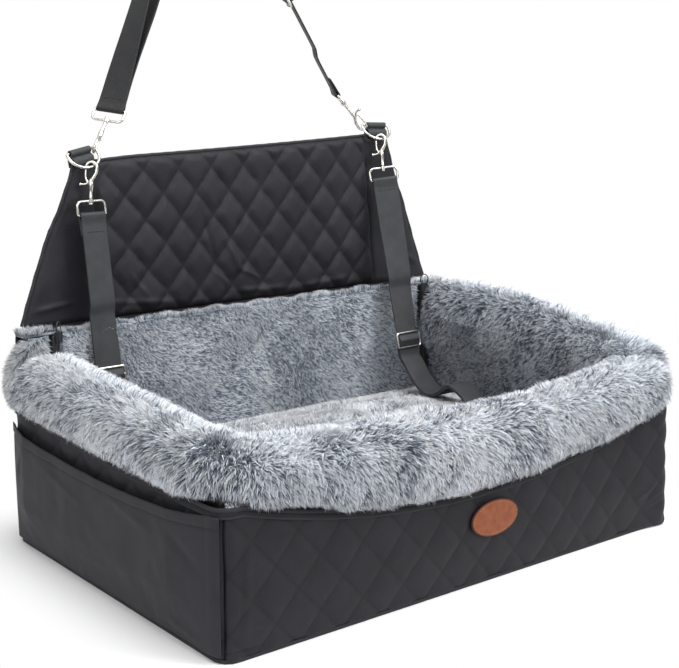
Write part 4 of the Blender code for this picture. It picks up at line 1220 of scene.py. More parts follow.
def makeRearStrip(side, sign):
    path = np.array(stripPath) * [sign, 1, 1]
    fine = np.linspace(0, 1, 26)
    centre = np.stack([np.interp(fine, np.linspace(0, 1, len(path)), path[:, k]) for k in range(3)], axis=1)
    way = normed(np.gradient(centre, axis=0))
    points, lie = [], []
    for i, c in enumerate(centre):
        outward = np.array([sign, 0, 0.0])
        across = np.cross(way[i], outward)
        across = across / np.linalg.norm(across)
        size = strip["radius"] * max(0.05, sin(pi * np.clip(fine[i], 0.004, 0.996)) ** 0.5)
        sunk = c - outward * strip["sunk"]
        ring = []
        for k in range(strip["turns"] + 1):
            a = 2 * pi * k / strip["turns"]
            ring.append(sunk + outward * cos(a) * size * 0.8 + across * sin(a) * size * 1.25)
        points.append(ring)
        lie.append([(sign * 0.3, 0.5, -1)] * len(ring))
    points = np.array(points)
    surface = facing(points, lie, points - points.mean(axis=1, keepdims=True))
    roll = makeRoll(f"rearStrip{side.capitalize()}", surface.points, False)
    finish(roll, "basket", backing, "plush_fur", f"rear_rim_{side}")
    # its light factor brightens this pile: painted light
    growFur(
        f"rearStripFur{side.capitalize()}", surface, count=4200, seed=340 + sign, length=0.0085,
        width=0.0011, lean=45, light=1.25,
    )


for side, sign in (("left", -1), ("right", 1)):
    makeRearStrip(side, sign)


# Back flap
flap = {
    "y": 0.186, "fold": 0.2215, "start": 0.0015, "height": 0.172, "lean": 2.0, "halfBottom": 0.272,
    "halfTop": 0.216, "core": 0.0040, "cloth": 0.0012, "binding": 0.0019, "panel": 0.180, "puff": 0.0044,
    "tilt": 0.034, "sag": 0.0015, "tuck": {-1: 0.010, 1: 0.0035},
}
# Webbing loops at its top corners: across, above the edge, then turn and roll in degrees
loopPlaces = {"left": (-0.1942, 0.0128, 12, 8), "right": (0.1974, 0.0130, -4, -4)}
flapLean = radians(flap["lean"])
flapUp = np.array([0, sin(flapLean), cos(flapLean)])
flapOut = np.array([0, -cos(flapLean), sin(flapLean)])
flapFoot = np.array([0, flap["y"], flap["fold"]])


def unit(v):
    v = np.array(v, float)
    return v / np.linalg.norm(v)


def flapHalf(v):
    return (
        flap["halfBottom"] + (flap["halfTop"] - flap["halfBottom"]) * (v - flap["start"]) / flap["height"]
    )


def flapPoint(u, v, w):
    share = v / flap["height"]
    x = u * (flapHalf(v) - flap["tuck"][1 if u > 0 else -1] * share**1.6)
    rise = (flap["tilt"] * x - flap["sag"] * (1 - u * u)) * share
    wave = 0.0025 * sin(pi * share) * cos(2.2 * u + 0.4)
    # the strap and the tethers twist the corners a little and round them
    for place, above, turn, roll in loopPlaces.values():
        near = min(max((v - 0.095) / 0.070, 0), 1) ** 2 / (1 + ((x - place) / 0.032) ** 4)
        wave -= near * tan(radians(turn)) * (x - place)
    rise -= 0.0022 * min(max((-x - 0.120) / 0.055, 0), 1) ** 2 * share
    rise -= 0.003 * max(0, (abs(x) - 0.192) / 0.014) ** 2 * max(0, share - 0.6) / 0.4
    return flapFoot + np.array([x, 0, 0]) + flapUp * (v + rise) + flapOut * (w + wave)


flapCreases = [
    (-0.060, 0.335, -0.030, 0.235, -0.0022, 0.0035), (-0.030, 0.300, -0.006, 0.252, 0.0022, 0.0040),
    (-0.012, 0.262, 0.020, 0.246, 0.0022, 0.0028), (-0.045, 0.262, -0.020, 0.240, 0.0018, 0.0030),
    (-0.180, 0.240, -0.090, 0.232, 0.0020, 0.0035), (-0.020, 0.236, 0.060, 0.232, 0.0022, 0.0035),
    (0.070, 0.231, 0.150, 0.236, 0.0018, 0.0035), (-0.262, 0.238, -0.215, 0.244, 0.0020, 0.0030),
    (-0.225, 0.360, -0.240, 0.300, 0.0014, 0.0040), (0.225, 0.262, 0.262, 0.242, 0.0022, 0.0040),
    (0.215, 0.300, 0.245, 0.262, 0.0016, 0.0040), (-0.150, 0.268, -0.128, 0.240, 0.0018, 0.0030),
]


quilt = {"width": 0.045, "height": 0.0528, "level": 0.3497}


# Makes each quilted diamond its own: some stand higher, and each leans its own way
def cushionRelief(a, b, puff):
    i, j = np.floor(a).astype(int), np.floor(b).astype(int)
    rng = np.random.default_rng(77)
    height, tiltA, tiltB = (rng.uniform(-1, 1, (64, 64))[i % 64, j % 64] for _ in range(3))
    fa, fb = a - i - 0.5, b - j - 0.5
    return puff * (1 + 0.20 * height + 0.45 * tiltA * fa + 0.45 * tiltB * fb)


def makeFlapFace(name, outer, nodes, quilted):
    us = spacedValues(-1, 1, 0.0068 if quilted else 0.0120)
    vs = spacedValues(flap["start"], flap["start"] + flap["height"], 0.0018 if quilted else 0.0030)
    depth = flap["core"] / 2 + 0.0003 + flap["cloth"]
    flat = np.array([[flapPoint(u, v, 0)[[0, 2]] for v in vs] for u in us])
    x, z = flat[:, :, 0], flat[:, :, 1]
    ladder = np.interp(
        x, [-0.24, -0.1493, -0.1029, -0.0622, 0.0235, 0.0689, 0.1138, 0.1572, 0.24],
        [-6.0, -4, -3, -2, 0, 1, 2, 3, 4.8],
    )
    level = z - quilt["level"]
    puff, near = diamonds(ladder * quilt["width"], level, quilt["width"], quilt["height"])
    rows = level / quilt["height"]
    puff = cushionRelief(ladder + rows + 40, ladder - rows + 40, puff)
    top = (vs[-1] - vs)[None] + 0 * x
    edge = np.minimum((1 - abs(us))[:, None] * flap["halfTop"], np.minimum(vs[None] - vs[0], top))
    limit = flap["panel"] + 0.010 * (1 - (z - z.min()) / (z.max() - z.min()))
    inPanel = np.clip((limit - abs(x)) / 0.004, 0, 1) * quilted
    ripple = uneven(x, z, 0.045, 401 if quilted else 411)
    fine = uneven(x, z, 0.010, 405, 2)
    relief = (
        flap["puff"] * puff * inPanel + 0.0011 * ripple * (1.4 - inPanel)
        + 0.0005 * fine * np.exp(-near / 0.008) * inPanel
    )
    relief += creaseDepth(x, z, flapCreases) * (1 if quilted else 0.5)
    relief -= 0.0022 * np.exp(-(((limit - abs(x)) / 0.0022) ** 2)) * quilted
    relief *= np.clip(edge / 0.008, 0, 1) ** 0.7
    # flat under the webbing loops, pinched in along the piping
    for place, *_ in loopPlaces.values():
        relief *= 1 - np.exp(-(((x - place) / 0.020) ** 4)) * np.clip((0.034 - top) / 0.010, 0, 1)
    relief -= 0.0017 * np.exp(-((edge / 0.0030) ** 2))
    sign = 1 if quilted else -1
    points = np.array(
        [
            [flapPoint(u, v, sign * (depth + relief[i, j])) for j, v in enumerate(vs)]
            for i, u in enumerate(us)
        ]
    )
    # darker along the quilting and the panel edge: partly the stitched seams, partly painted shade in their
    # grooves
    seams = (
        0.85 * np.exp(-((near / 0.0011) ** 2)) * inPanel
        + 0.6 * np.exp(-(((limit - abs(x)) / 0.0012) ** 2)) * quilted
    )
    piece = clothGrid(
        name, us, vs, lambda i, j: points[i, j], lambda i, j: flat[i, j], np.clip(seams, 0, 1),
    )
    if sum(poly.normal.y for poly in piece.data.polygons) * sign > 0:
        piece.data.flip_normals()
    thicken(piece, 0.0020)
    finish(piece, "flap", outer, "quilted_cloth" if quilted else "plain_cloth", *nodes)


makeFlapFace("flapQuilt", quiltCloth, ["flap_front", "flap_core"], 1)
makeFlapFace("flapLining", plainCloth, ["flap_back"], 0)


# Adds a round rod along points to a bmesh
def rod(work, points, radii, cyclic=False, roundness=3):
    curve = bpy.data.curves.new("rod", "CURVE")
    curve.dimensions = "3D"
    curve.bevel_depth = 1.0
    curve.bevel_resolution = roundness
    curve.use_fill_caps = not cyclic
    spline = curve.splines.new("POLY")
    spline.points.add(len(points) - 1)
    spline.use_cyclic_u = cyclic
    radii = radii if hasattr(radii, "__len__") else [radii] * len(points)
    for point, place, radius in zip(spline.points, points, radii):
        point.co = (*place, 1)
        point.radius = radius
    holder = bpy.data.objects.new("rod", curve)
    mesh = bpy.data.meshes.new_from_object(holder)
    work.from_mesh(mesh)
    bpy.data.objects.remove(holder)
    bpy.data.meshes.remove(mesh)
    bpy.data.curves.remove(curve)


def closedPiece(name, work):
    closeMesh(work)
    for face in work.faces:
        face.smooth = True
    piece = pieceFrom(name, work)
    piece.data.set_sharp_from_angle(angle=radians(40))
    return piece


def makeBinding():
    top = flap["start"] + flap["height"]
    outward = flap["binding"] * 0.72
    track = [(-1, v) for v in np.linspace(flap["start"] + 0.002, top, 40)]
    track += [(u, top) for u in np.linspace(-0.985, 0.985, 90)]
    track += [(1, v) for v in np.linspace(top, flap["start"] + 0.002, 40)]
    path = []
    for k, (u, v) in enumerate(track):
        point = flapPoint(u, v, 0)
        if abs(u) == 1:
            point = point + np.array([u * outward, 0, 0])
        if v == top:
            point = point + flapUp * outward
        path.append(point + flapOut * 0.0004 * sin(k * 0.9))
    work = bmesh.new()
    rod(work, path, [flap["binding"] * (1 + 0.06 * sin(k * 1.7)) for k in range(len(path))])
    piece = closedPiece("flapPiping", work)
    layer = piece.data.uv_layers.new(name="cloth")
    for loop in piece.data.loops:
        co = piece.data.vertices[loop.vertex_index].co
        layer.data[loop.index].uv = (co.x + co.z, co.z - co.y)
    finish(piece, "flap", plainCloth, "plain_cloth", "flap_binding")


makeBinding()
print("flap made")


# Webbing: a flat path wound round bars, laid on a guide line in space
webbing = {
    "width": 0.030, "thickness": 0.0015, "cadThickness": 0.0016, "gap": 0.0004, "wire": 0.0014,
    "slider": 0.0087,
}


# Points of a path that runs straight between round stops (along, off, radius, turn)
def belt(stops, step=12):
    directions = []
    for (a1, d1, r1, o1), (a2, d2, r2, o2) in zip(stops, stops[1:]):
        length = hypot(a2 - a1, d2 - d1)
        directions.append(atan2(d2 - d1, a2 - a1) - asin((o2 * r2 - o1 * r1) / length))
    path = []
    for i, (a, d, r, o) in enumerate(stops):
        first, last = directions[max(i - 1, 0)], directions[min(i, len(directions) - 1)]
        if r == 0:
            path.append((a, d))
            continue
        turn = last - first
        while o > 0 and turn < 0:
            turn += 2 * pi
        while o < 0 and turn > 0:
            turn -= 2 * pi
        for t in np.linspace(0, 1, max(2, int(abs(turn) / radians(step)) + 2)):
            heading = first + turn * t
            path.append((a + o * r * sin(heading), d - o * r * cos(heading)))
    return path


def spacedPath(path, step=0.003):
    full = [path[0]]
    for p in path[1:]:
        q = full[-1]
        count = int(hypot(p[0] - q[0], p[1] - q[1]) / step) + 1
        full += [
            (q[0] + (p[0] - q[0]) * k / count, q[1] + (p[1] - q[1]) * k / count)
            for k in range(1, count + 1)
        ]
    return full


# A point of the smooth curve from p1 to p2
def curvePoint(p0, p1, p2, p3, t):
    squared, cubed = 2 * p0 - 5 * p1 + 4 * p2 - p3, 3 * p1 - p0 - 3 * p2 + p3
    return (2 * p1 + (p2 - p0) * t + squared * t * t + cubed * t**3) / 2


# A smooth line through points with its width direction. Returns guide(s, d, w)
def guideLine(points, widths, count=200):
    points, widths = np.array(points, float), np.array(widths, float)
    fine, wide = [], []
    for i in range(len(points) - 1):
        p0, p1, p2, p3 = (points[min(max(k, 0), len(points) - 1)] for k in (i - 1, i, i + 1, i + 2))
        for t in np.linspace(0, 1, count // (len(points) - 1), endpoint=i == len(points) - 2):
            fine.append(curvePoint(p0, p1, p2, p3, t))
            wide.append(widths[i] * (1 - t) + widths[i + 1] * t)
    fine, wide = np.array(fine), np.array(wide)
    run = distances(fine)
    tangents = np.gradient(fine, run, axis=0)

    def guide(s, d, w):
        inside = min(max(s, 0), run[-1])
        centre, tangent, across = (
            np.array([np.interp(inside, run, g[:, k]) for k in range(3)]) for g in (fine, tangents, wide)
        )
        tangent = tangent / np.linalg.norm(tangent)
        across = across - tangent * np.dot(across, tangent)
        across = across / np.linalg.norm(across)
        return centre + tangent * (s - inside) + np.cross(tangent, across) * d + across * w

    guide.length = run[-1]
    return guide


# Webbing along a path in the guide's own plane, with extra rows close to its edges
def makeRibbon(name, path, guide, width, body, *nodes, cloth=webbingCloth):
    path = np.array(path)
    ws = np.array([-0.5, -0.47, -0.25, 0, 0.25, 0.47, 0.5]) * width
    run = np.concatenate([[0], np.cumsum(np.hypot(*np.diff(path, axis=0).T))])
    piece = clothGrid(
        name, ws, run, lambda i, j: guide(path[j][0], path[j][1], ws[i] * (1 + 0.004 * sin(run[j] * 200))),
    )
    thicken(piece, webbing["thickness"], 0.0)
    return finish(piece, body, cloth, "webbing", *nodes)


halfStack = (webbing["cadThickness"] + webbing["gap"]) / 2
wrap = webbing["wire"] + 0.00035 + webbing["cadThickness"] / 2
behind = -(webbing["wire"] + 0.0004 + webbing["cadThickness"] / 2)
behindAgain = behind - webbing["cadThickness"] - webbing["gap"]


# From a sewn fold on one bar, behind the slider's whole way, round the end's bar and back to the slider
def strapPath(low, at, high, end, tail=0.021):
    return spacedPath(
        belt(
            [
                (tail, -halfStack, 0, 1), (0, 0, wrap, -1), (0.008, halfStack, 0, 1),
                (low - 0.030, halfStack, 0, 1), (low - 0.024, halfStack * 0.6, 0, 1),
                (low - 0.015, behind * 0.9, 0, 1), (low - 0.010, behind, 0, 1),
                (high + 0.010, behind, 0, 1), (high + 0.015, behind * 0.9, 0, 1),
                (high + 0.026, halfStack * 0.6, 0, 1), (high + 0.032, halfStack, 0, 1),
                (end - 0.008, halfStack, 0, 1), (end, 0, wrap, -1), (end - 0.008, -halfStack, 0, 1),
                (high + 0.034, -halfStack, 0, 1), (high + 0.015, behindAgain, 0, 1),
                (at - 0.004, behindAgain, 0, 1),
            ]
        )
    )


# The short length of webbing that shows over the slider's middle bar
def sliderWrap(name, guide, at, body):
    over = spacedPath(
        belt([(at - 0.0064, -0.0007, 0, 1), (at, 0, wrap, -1), (at + 0.0064, -0.0007, 0, 1)]), 0.0015,
    )
    makeRibbon(name, over, guide, webbing["width"] - 0.0004, body)


# Nickel hardware, drawn in its own frame: x across, z towards the hook's eye, y through it
metal = {
    "inner": 0.0315, "bailHeight": 0.0145, "bailBar": 0.0490, "bailCorner": 0.0052, "eye": 0.0056,
    "ring": 0.0016, "ringInner": 0.0345,
}
bailReach = metal["bailBar"] - metal["bailHeight"]


def arc(centre, radius, start, end, count):
    return [
        (centre[0] + radius * cos(a), 0, centre[1] + radius * sin(a))
        for a in np.radians(np.linspace(start, end, count))
    ]


def loopPath(halfX, low, high, radius=0.0025, topRadius=0.0025, count=8):
    corners = (
        (halfX - topRadius, high - topRadius, topRadius, 90), (halfX - radius, low + radius, radius, 0),
        (-halfX + radius, low + radius, radius, -90),
        (-halfX + topRadius, high - topRadius, topRadius, 180),
    )
    return [p for cx, cz, r, a in corners for p in arc((cx, cz), r, a, a - 90, count)]


# Points and radii on a smooth curve through stops of x, z and radius
def smoothLine(stops, count):
    full = np.array([(x, 0, z, radius) for x, z, radius in stops], float)
    made = []
    per = max(2, count // (len(full) - 1))
    for i in range(len(full) - 1):
        p0, p1, p2, p3 = (full[min(max(k, 0), len(full) - 1)] for k in (i - 1, i, i + 1, i + 2))
        for t in np.linspace(0, 1, per, endpoint=False):
            made.append(curvePoint(p0, p1, p2, p3, t))
    made = np.array(made + [full[-1]])
    return made[:, :3], made[:, 3]


def bailMesh():
    work = bmesh.new()
    top = -bailReach
    half = metal["inner"] / 2 + webbing["wire"]
    rod(
        work, loopPath(half, -metal["bailBar"], top, 0.0025, metal["bailCorner"]), webbing["wire"],
        cyclic=True, roundness=4,
    )
    # flattened boss that the hook's stem turns in
    rod(
        work, [(0, 0, top + h) for h in (-0.0019, -0.0017, 0.0017, 0.0019)],
        [0.0026, 0.0033, 0.0033, 0.0026], roundness=5,
    )
    return work


def hookMesh():
    work = bmesh.new()
    top = -bailReach
    # rivet head under the bail's bar, stem, collar, and the cast body that sweeps round into the eye
    stops = [
        (0, top - 0.0042, 0.0010), (0, top - 0.0038, 0.0021), (0, top - 0.0026, 0.0023),
        (0, top - 0.0020, 0.0013), (0, top + 0.0022, 0.0013), (0, top + 0.0030, 0.0020),
        (0, top + 0.0060, 0.0019), (0, -0.0255, 0.0018), (0, -0.0225, 0.0021), (0, -0.0180, 0.0026),
        (0, -0.0140, 0.0024), (0.0020, -0.0108, 0.0020), (0.0047, -0.0058, 0.0018),
    ]
    points, sizes = smoothLine(stops, 70)
    curve = arc((0, 0), metal["eye"], -18, 172, 26)
    ends = np.linspace(0.00172, 0.00128, 26)
    rod(work, [tuple(p) for p in points] + curve, list(sizes) + list(ends), roundness=5)
    return work


def boltMesh():
    work = bmesh.new()
    r = metal["eye"]
    # the latch, and its thumb knob at the end
    stops = [
        (-r, -0.0013, 0.0006), (-r, -0.0017, 0.0011), (-r, -0.0110, 0.0011), (-0.0039, -0.0146, 0.0011),
        (-0.0040, -0.0164, 0.0011), (-r - 0.0016, -0.0175, 0.0011), (-r - 0.0040, -0.0176, 0.0011),
        (-r - 0.0046, -0.0176, 0.0019), (-r - 0.0060, -0.0177, 0.0017), (-r - 0.0064, -0.0177, 0.0008),
    ]
    points, sizes = smoothLine(stops, 54)
    rod(work, points, sizes, roundness=4)
    return work


def glideMesh():
    work = bmesh.new()
    half = metal["inner"] / 2 + webbing["wire"]
    rod(
        work, loopPath(half, -webbing["slider"], webbing["slider"]), webbing["wire"], cyclic=True,
        roundness=4,
    )
    rod(work, [(-half, 0, 0), (half, 0, 0)], webbing["wire"] * 0.95, roundness=4)
    return work


# Stands a shape with its z along up and its x along across
def placeWork(work, centre, up, across):
    up = unit(up)
    across = unit(np.array(across, float) - up * np.dot(across, up))
    through = np.cross(up, across)
    for vert in work.verts:
        x, y, z = vert.co
        vert.co = Vector(np.array(centre) + x * across + y * through + z * up)


def metalPiece(name, work, body, *nodes, material=nickel):
    return finish(closedPiece(name, work), body, material, "nickel", *nodes)


def camel(name):
    first, *rest = name.split("_")
    return first + "".join(word.capitalize() for word in rest)


# Bail, hook and bolt. The bail lies in line with the pull. Returns the middle of its bar
def snapHook(name, eye, up, across, flat, bailBody, pull=None):
    eye, up = np.array(eye, float), unit(up)
    stem = eye - up * bailReach
    back = up if pull is None else -unit(pull - stem)
    bailEye = stem + back * bailReach
    for part, make, at, along, way, body in (
        ("bail", bailMesh, bailEye, back, flat, bailBody),
        ("hook", hookMesh, eye, up, across, f"{name}_hook"),
        ("bolt", boltMesh, eye, up, across, f"{name}_bolt"),
    ):
        work = make()
        placeWork(work, at, along, way)
        metalPiece(camel(f"{name}_{part}"), work, body, f"{name}_{part}")
    return stem - back * metal["bailHeight"]


# A slider on the webbing, with the webbing over its middle bar
def slider(side, guide, at):
    centre = guide(at, 0, 0)
    work = glideMesh()
    placeWork(work, centre, guide(at - 0.001, 0, 0) - guide(at + 0.001, 0, 0), guide(at, 0, 0.01) - centre)
    metalPiece(camel(f"glide_{side}"), work, f"glide_{side}", f"glide_{side}")
    sliderWrap(camel(f"wrap_{side}"), guide, at, f"glide_{side}")


# A sewn line across the webbing's fold, on both faces
def foldStitches(name, guide, along, body, off=None):
    off = halfStack + webbing["thickness"] / 2 if off is None else off
    for k, side in enumerate((1, -1)):
        row = [guide(along, off * side, w) for w in np.linspace(-0.0115, 0.0115, 12)]
        up = unit(guide(along, 0.01 * side, 0) - guide(along, 0, 0))
        stitchRow(
            f"{name}{k + 1}", row, [up] * 12, length=0.0030, spacing=0.0036, radius=0.00055,
            slotName="webbing", body=body,
        )


# D-rings in webbing loops at the flap's top corners
ringDrop, ringDepth, ringSide = radians(52), 0.0205, 0.0055
ringHalf = metal["ringInner"] / 2 + metal["ring"]
eyeInner = metal["eye"] - 0.0016
legOff = flap["core"] / 2 + flap["cloth"] + 0.0003 + 0.0004 + webbing["cadThickness"] / 2
tetherEye, strapEye = {}, {}
for name, sign in (("left", -1), ("right", 1)):
    side = name.capitalize()
    place, above, turn, roll = loopPlaces[name]
    turn, roll = radians(turn), radians(roll) + flap["tilt"]
    across = cos(turn) * (np.array([cos(roll), 0, 0]) + sin(roll) * flapUp) - sin(turn) * flapOut
    up = unit(flapUp - across * np.dot(flapUp, across))
    out = np.cross(across, up)
    down = out * cos(ringDrop) - up * sin(ringDrop)
    top = flap["start"] + flap["height"]
    centre = flapPoint(place / (flapHalf(top) - flap["tuck"][sign]), top, 0) + up * above
    flatRing = [
        (-ringHalf + 0.002, 0), (ringHalf - 0.002, 0), (ringHalf - 0.0006, 0.0006), (ringHalf, 0.002),
        (ringHalf, ringSide),
    ]
    flatRing += [
        (ringHalf * cos(radians(a)), ringSide + (ringDepth - ringSide) * sin(radians(a)))
        for a in range(10, 180, 10)
    ]
    flatRing += [(-ringHalf, ringSide), (-ringHalf, 0.002), (-ringHalf + 0.0006, 0.0006)]
    work = bmesh.new()
    rod(
        work, [centre + across * x + down * d for x, d in flatRing], metal["ring"], cyclic=True,
        roundness=4,
    )
    metalPiece(f"dRing{side}", work, f"ring_{name}", f"ring_{name}")
    loopWrap = metal["ring"] + 0.0004 + webbing["cadThickness"] / 2
    legs = [
        (-0.0145, -legOff, 0, 1), (-0.007, -legOff, 0, 1), (0, 0, loopWrap, -1), (-0.007, legOff, 0, 1),
        (-0.0145, legOff, 0, 1),
    ]
    loopMiddle = centre + across * sign * 0.0014
    onLoop = lambda s, d, w: loopMiddle + up * s + out * d + across * w
    makeRibbon(f"ringLoop{side}", spacedPath(belt(legs)), onLoop, 0.026, "flap", f"flap_loop_{name}")
    foldStitches(f"ringLoopStitches{side}", onLoop, -0.0118, "flap", legOff + webbing["thickness"] / 2)
    tetherEye[name] = centre + down * ringDepth - np.array([0, 0, eyeInner - metal["ring"] - 0.0018])
    strapEye[name] = centre - across * sign * (ringHalf - 0.0004) + down * 0.0014
print("rings made")

# Tethers. Each pair is how far a point lies in front of the flap and above the cushion
tetherRun = {
    "left": [
        (0.040, 0.060), (0.074, 0.012), (0.096, -0.0005), (0.120, 0.002), (0.142, 0.0125), (0.164, 0.0065),
        (0.180, -0.0008),
    ],
    "right": [
        (0.064, 0.052), (0.090, 0.010), (0.110, -0.0008), (0.130, 0.004), (0.148, 0.016), (0.168, 0.0095),
        (0.182, -0.0008),
    ],
}
tetherTurn = {"left": 8, "right": -24}
tetherHanded = {"left": (0.87, -0.49, 0), "right": (0.70, -0.71, 0)}
tetherLean = {"left": 0.0045, "right": 0.0030}
tetherSeam = {"left": 0.0170, "right": 0.0120}
cushionCrown = 0.106
for name, sign in (("left", -1), ("right", 1)):
    eye = tetherEye[name]
    points = [
        np.array([sign * 0.195, flap["y"] - before, cushionCrown + above])
        for before, above in tetherRun[name]
    ]
    towards = unit(unit(eye - points[0]) * bailReach + np.array([tetherLean[name], 0, 0]))
    turn = radians(tetherTurn[name])
    bar = snapHook(
        f"tether_top_{name}", eye, towards, tetherHanded[name], (cos(turn), sin(turn), 0), "flap",
        points[0],
    )
    straight = np.linalg.norm(points[0] - bar)
    heading = unit(points[0] - bar)
    line = [
        bar + heading * f
        for f in (0.06, 0.11, straight - 0.020, straight, straight + 0.010, straight + 0.020)
    ]
    points = [bar, *line, *points[1:]]
    widths = (
        [(cos(a), sin(a), 0) for a in (turn, turn, turn * 0.6, 0, 0, 0)] + [(1, 0, 0)] * (len(points) - 6)
    )
    guide = guideLine(points, widths, 240)
    sliderAt = straight - 0.004
    path = strapPath(sliderAt - 0.050, sliderAt, sliderAt, guide.length)
    piece = makeRibbon(camel(f"tether_{name}"), path, guide, webbing["width"], None, f"tether_{name}")
    bend = [tuple(float(value) for value in guide(s, 0, 0)) for s in (sliderAt - 0.012, 0.018)]
    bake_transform(piece)
    foldStitches(camel(f"tether_stitches_{name}"), guide, tetherSeam[name], "flap")
    slider(name, guide, sliderAt)
    endBar = guide(guide.length, 0, 0)
    lowUp = np.array([0, -1.0, 0])
    snapHook(
        f"tether_low_{name}", endBar + lowUp * metal["bailBar"], lowUp, (-1, 0, 0), (1, 0, 0), "basket",
    )
print("tethers made")

# Hanging strap: its two straight runs lean in by the same angle and meet in a round top
away, spread, strapTilt = radians(11.0), radians(25.9), radians(1.1)
planeUp = np.array([0, sin(away), cos(away)])
planeOut = np.array([0, cos(away), -sin(away)])
strapAcross = np.array([cos(strapTilt), 0, 0]) + sin(strapTilt) * planeUp
planeUp = cos(strapTilt) * planeUp - np.array([sin(strapTilt), 0, 0])
strapWay = {s: -s * sin(spread) * strapAcross + cos(spread) * planeUp for s in (-1, 1)}
rightTurn, apexRadius = radians(-33), 0.050
hookWay = {"left": unit((0.56, 0.30, 0.77)), "right": unit((-0.603, 0.264, 0.752))}
hookSide = {"left": (-0.6, -0.78, 0), "right": (-0.294, 0.801, -0.5175)}


def rightWidth(turn):
    return cos(turn) * planeOut + sin(turn) * np.cross(strapWay[1], planeOut)


hookEye = {name: strapEye[name] + hookWay[name] * (eyeInner - metal["ring"] - 0.0012) for name in strapEye}
barPoint = {name: hookEye[name] + hookWay[name] * metal["bailBar"] for name in strapEye}
gapBetween = barPoint["left"] - barPoint["right"]
meet = (np.dot(gapBetween, planeUp) * tan(spread) - np.dot(gapBetween, strapAcross)) / 2 / sin(spread)
cut = apexRadius / tan(spread)
points = [barPoint["right"] + strapWay[1] * (meet - cut) * f for f in np.linspace(0, 1, 6)]
widths = [rightWidth(rightTurn * min(1, (1 - f) / 0.2)) for f in np.linspace(0, 1, 6)]
peak = barPoint["right"] + strapWay[1] * meet
apex = peak - planeUp * apexRadius / sin(spread)
for a in np.linspace(spread, pi - spread, 9)[1:-1]:
    over = 0.5 - 0.5 * cos(pi * (a - spread) / (pi - 2 * spread))
    points.append(
        apex + apexRadius * (cos(a) * strapAcross + sin(a) * planeUp)
        + planeOut * np.dot(gapBetween, planeOut) * over
    )
    widths.append(planeOut)
leftTop = peak - strapWay[-1] * cut + planeOut * np.dot(gapBetween, planeOut)
leftWidth = unit(np.cross(leftTop - barPoint["left"], hookWay["left"]))
for f in np.linspace(1, 0, 6):
    points.append(barPoint["left"] + (leftTop - barPoint["left"]) * f)
    widths.append(
        unit(planeOut * f + leftWidth * (1 - f))
        + np.cross(-strapWay[-1], planeOut) * 0.17 * (1 - abs(2 * f - 1))
    )
snapHook("strap_left", hookEye["left"], -hookWay["left"], hookSide["left"], leftWidth, "strap")
snapHook(
    "strap_right", hookEye["right"], -hookWay["right"], hookSide["right"], rightWidth(rightTurn), "strap",
)
strapGuide = guideLine(points, widths, 400)
strapSlider = 0.124


# The inner layer hangs a little apart from the outer one on the left side
def looseStrap(s, d, w):
    apart = sin(pi * min(max((s - 0.30) / (strapGuide.length - 0.305), 0), 1)) ** 2
    return strapGuide(s, d + 0.011 * apart * (d > 0), w)


path = strapPath(strapSlider - 0.050, strapSlider, strapSlider + 0.050, strapGuide.length)
# the strap's darker webbing colours are painted shade
makeRibbon("hangingStrap", path, looseStrap, webbing["width"], "strap", "strap_webbing", cloth=shadedStrapCloth)
slider("strap", strapGuide, strapSlider)
foldStitches("strapStitchesRight", strapGuide, 0.0125, "strap")
foldStitches("strapStitchesLeft", strapGuide, strapGuide.length - 0.0125, "strap")
print("strap made")


# Zips inside the rear corners
cornerZip = {"low": 0.1035, "high": 0.2185, "tooth": 0.0022, "pull": 0.2160, "wire": 0.00062}


def makeCornerZip(name, sign):
    inner = lining["inset"] + 0.003
    centre = np.array(
        [sign * (walls["width"] / 2 - inner - 0.0026), walls["depth"] / 2 - inner - 0.0046, 0]
    )
    ahead = np.array([-sign * 0.64, -0.77, 0])
    across = np.array([ahead[1], -ahead[0], 0])
    zs = spacedValues(cornerZip["low"], cornerZip["high"], 0.004)
    ws = [-0.006, -0.0022, 0, 0.0022, 0.006]
    side = name.capitalize()

    def tapePoint(i, j):
        fold = 0.0008 + 0.0008 * (abs(ws[i]) < 0.003)
        return centre + across * ws[i] + ahead * fold + np.array([0, 0, zs[j]])

    piece = clothGrid(f"cornerTape{side}", ws, zs, tapePoint)
    thicken(piece, 0.0010, 0.0)
    finish(piece, "basket", zipTape, "zip_tape", f"corner_zip_{name}")
    work = bmesh.new()
    for z in np.arange(cornerZip["low"] + 0.0015, cornerZip["high"] - 0.0015, cornerZip["tooth"]):
        for vert in bmesh.ops.create_cube(work, size=1)["verts"]:
            a, b, c = vert.co
            vert.co = Vector(
                centre + across * a * 0.0034 + ahead * (0.0020 + b * 0.0010)
                + np.array([0, 0, z + c * 0.0013])
            )
    finish(closedPiece(f"cornerTeeth{side}", work), "basket", zipCoil, "zip_tape")
    middle = centre + ahead * 0.0050 + np.array([0, 0, cornerZip["pull"]])
    work = bmesh.new()
    for vert in bmesh.ops.create_cube(work, size=1)["verts"]:
        a, b, c = vert.co
        vert.co = Vector(
            middle + across * a * 0.0066 * (1 - 0.25 * (c < 0)) + ahead * b * 0.0042
            + np.array([0, 0, c * 0.0094])
        )
    bmesh.ops.bevel(
        work, geom=work.edges[:], offset=0.0007, segments=3, profile=0.5, affect="EDGES", material=-1,
    )
    ring = []
    for a in np.linspace(0, 2 * pi, 40, endpoint=False):
        ring.append(middle + across * cos(a) * 0.0046 + np.array([0, 0, 0.0098 + sin(a) * 0.0062]))
    rod(work, ring, cornerZip["wire"], cyclic=True, roundness=4)
    metalPiece(f"zipPull{side}", work, f"zip_slider_{name}", f"zip_slider_{name}", material=zipCoil)


for name, sign in (("left", -1), ("right", 1)):
    makeCornerZip(name, sign)

# Nodes that keep their own shape
for node in ("bottom_panel", "fold_strip"):
    bpy.data.objects[node].data.materials.clear()
    bpy.data.objects[node].data.materials.append(plainCloth)
print("zips made")

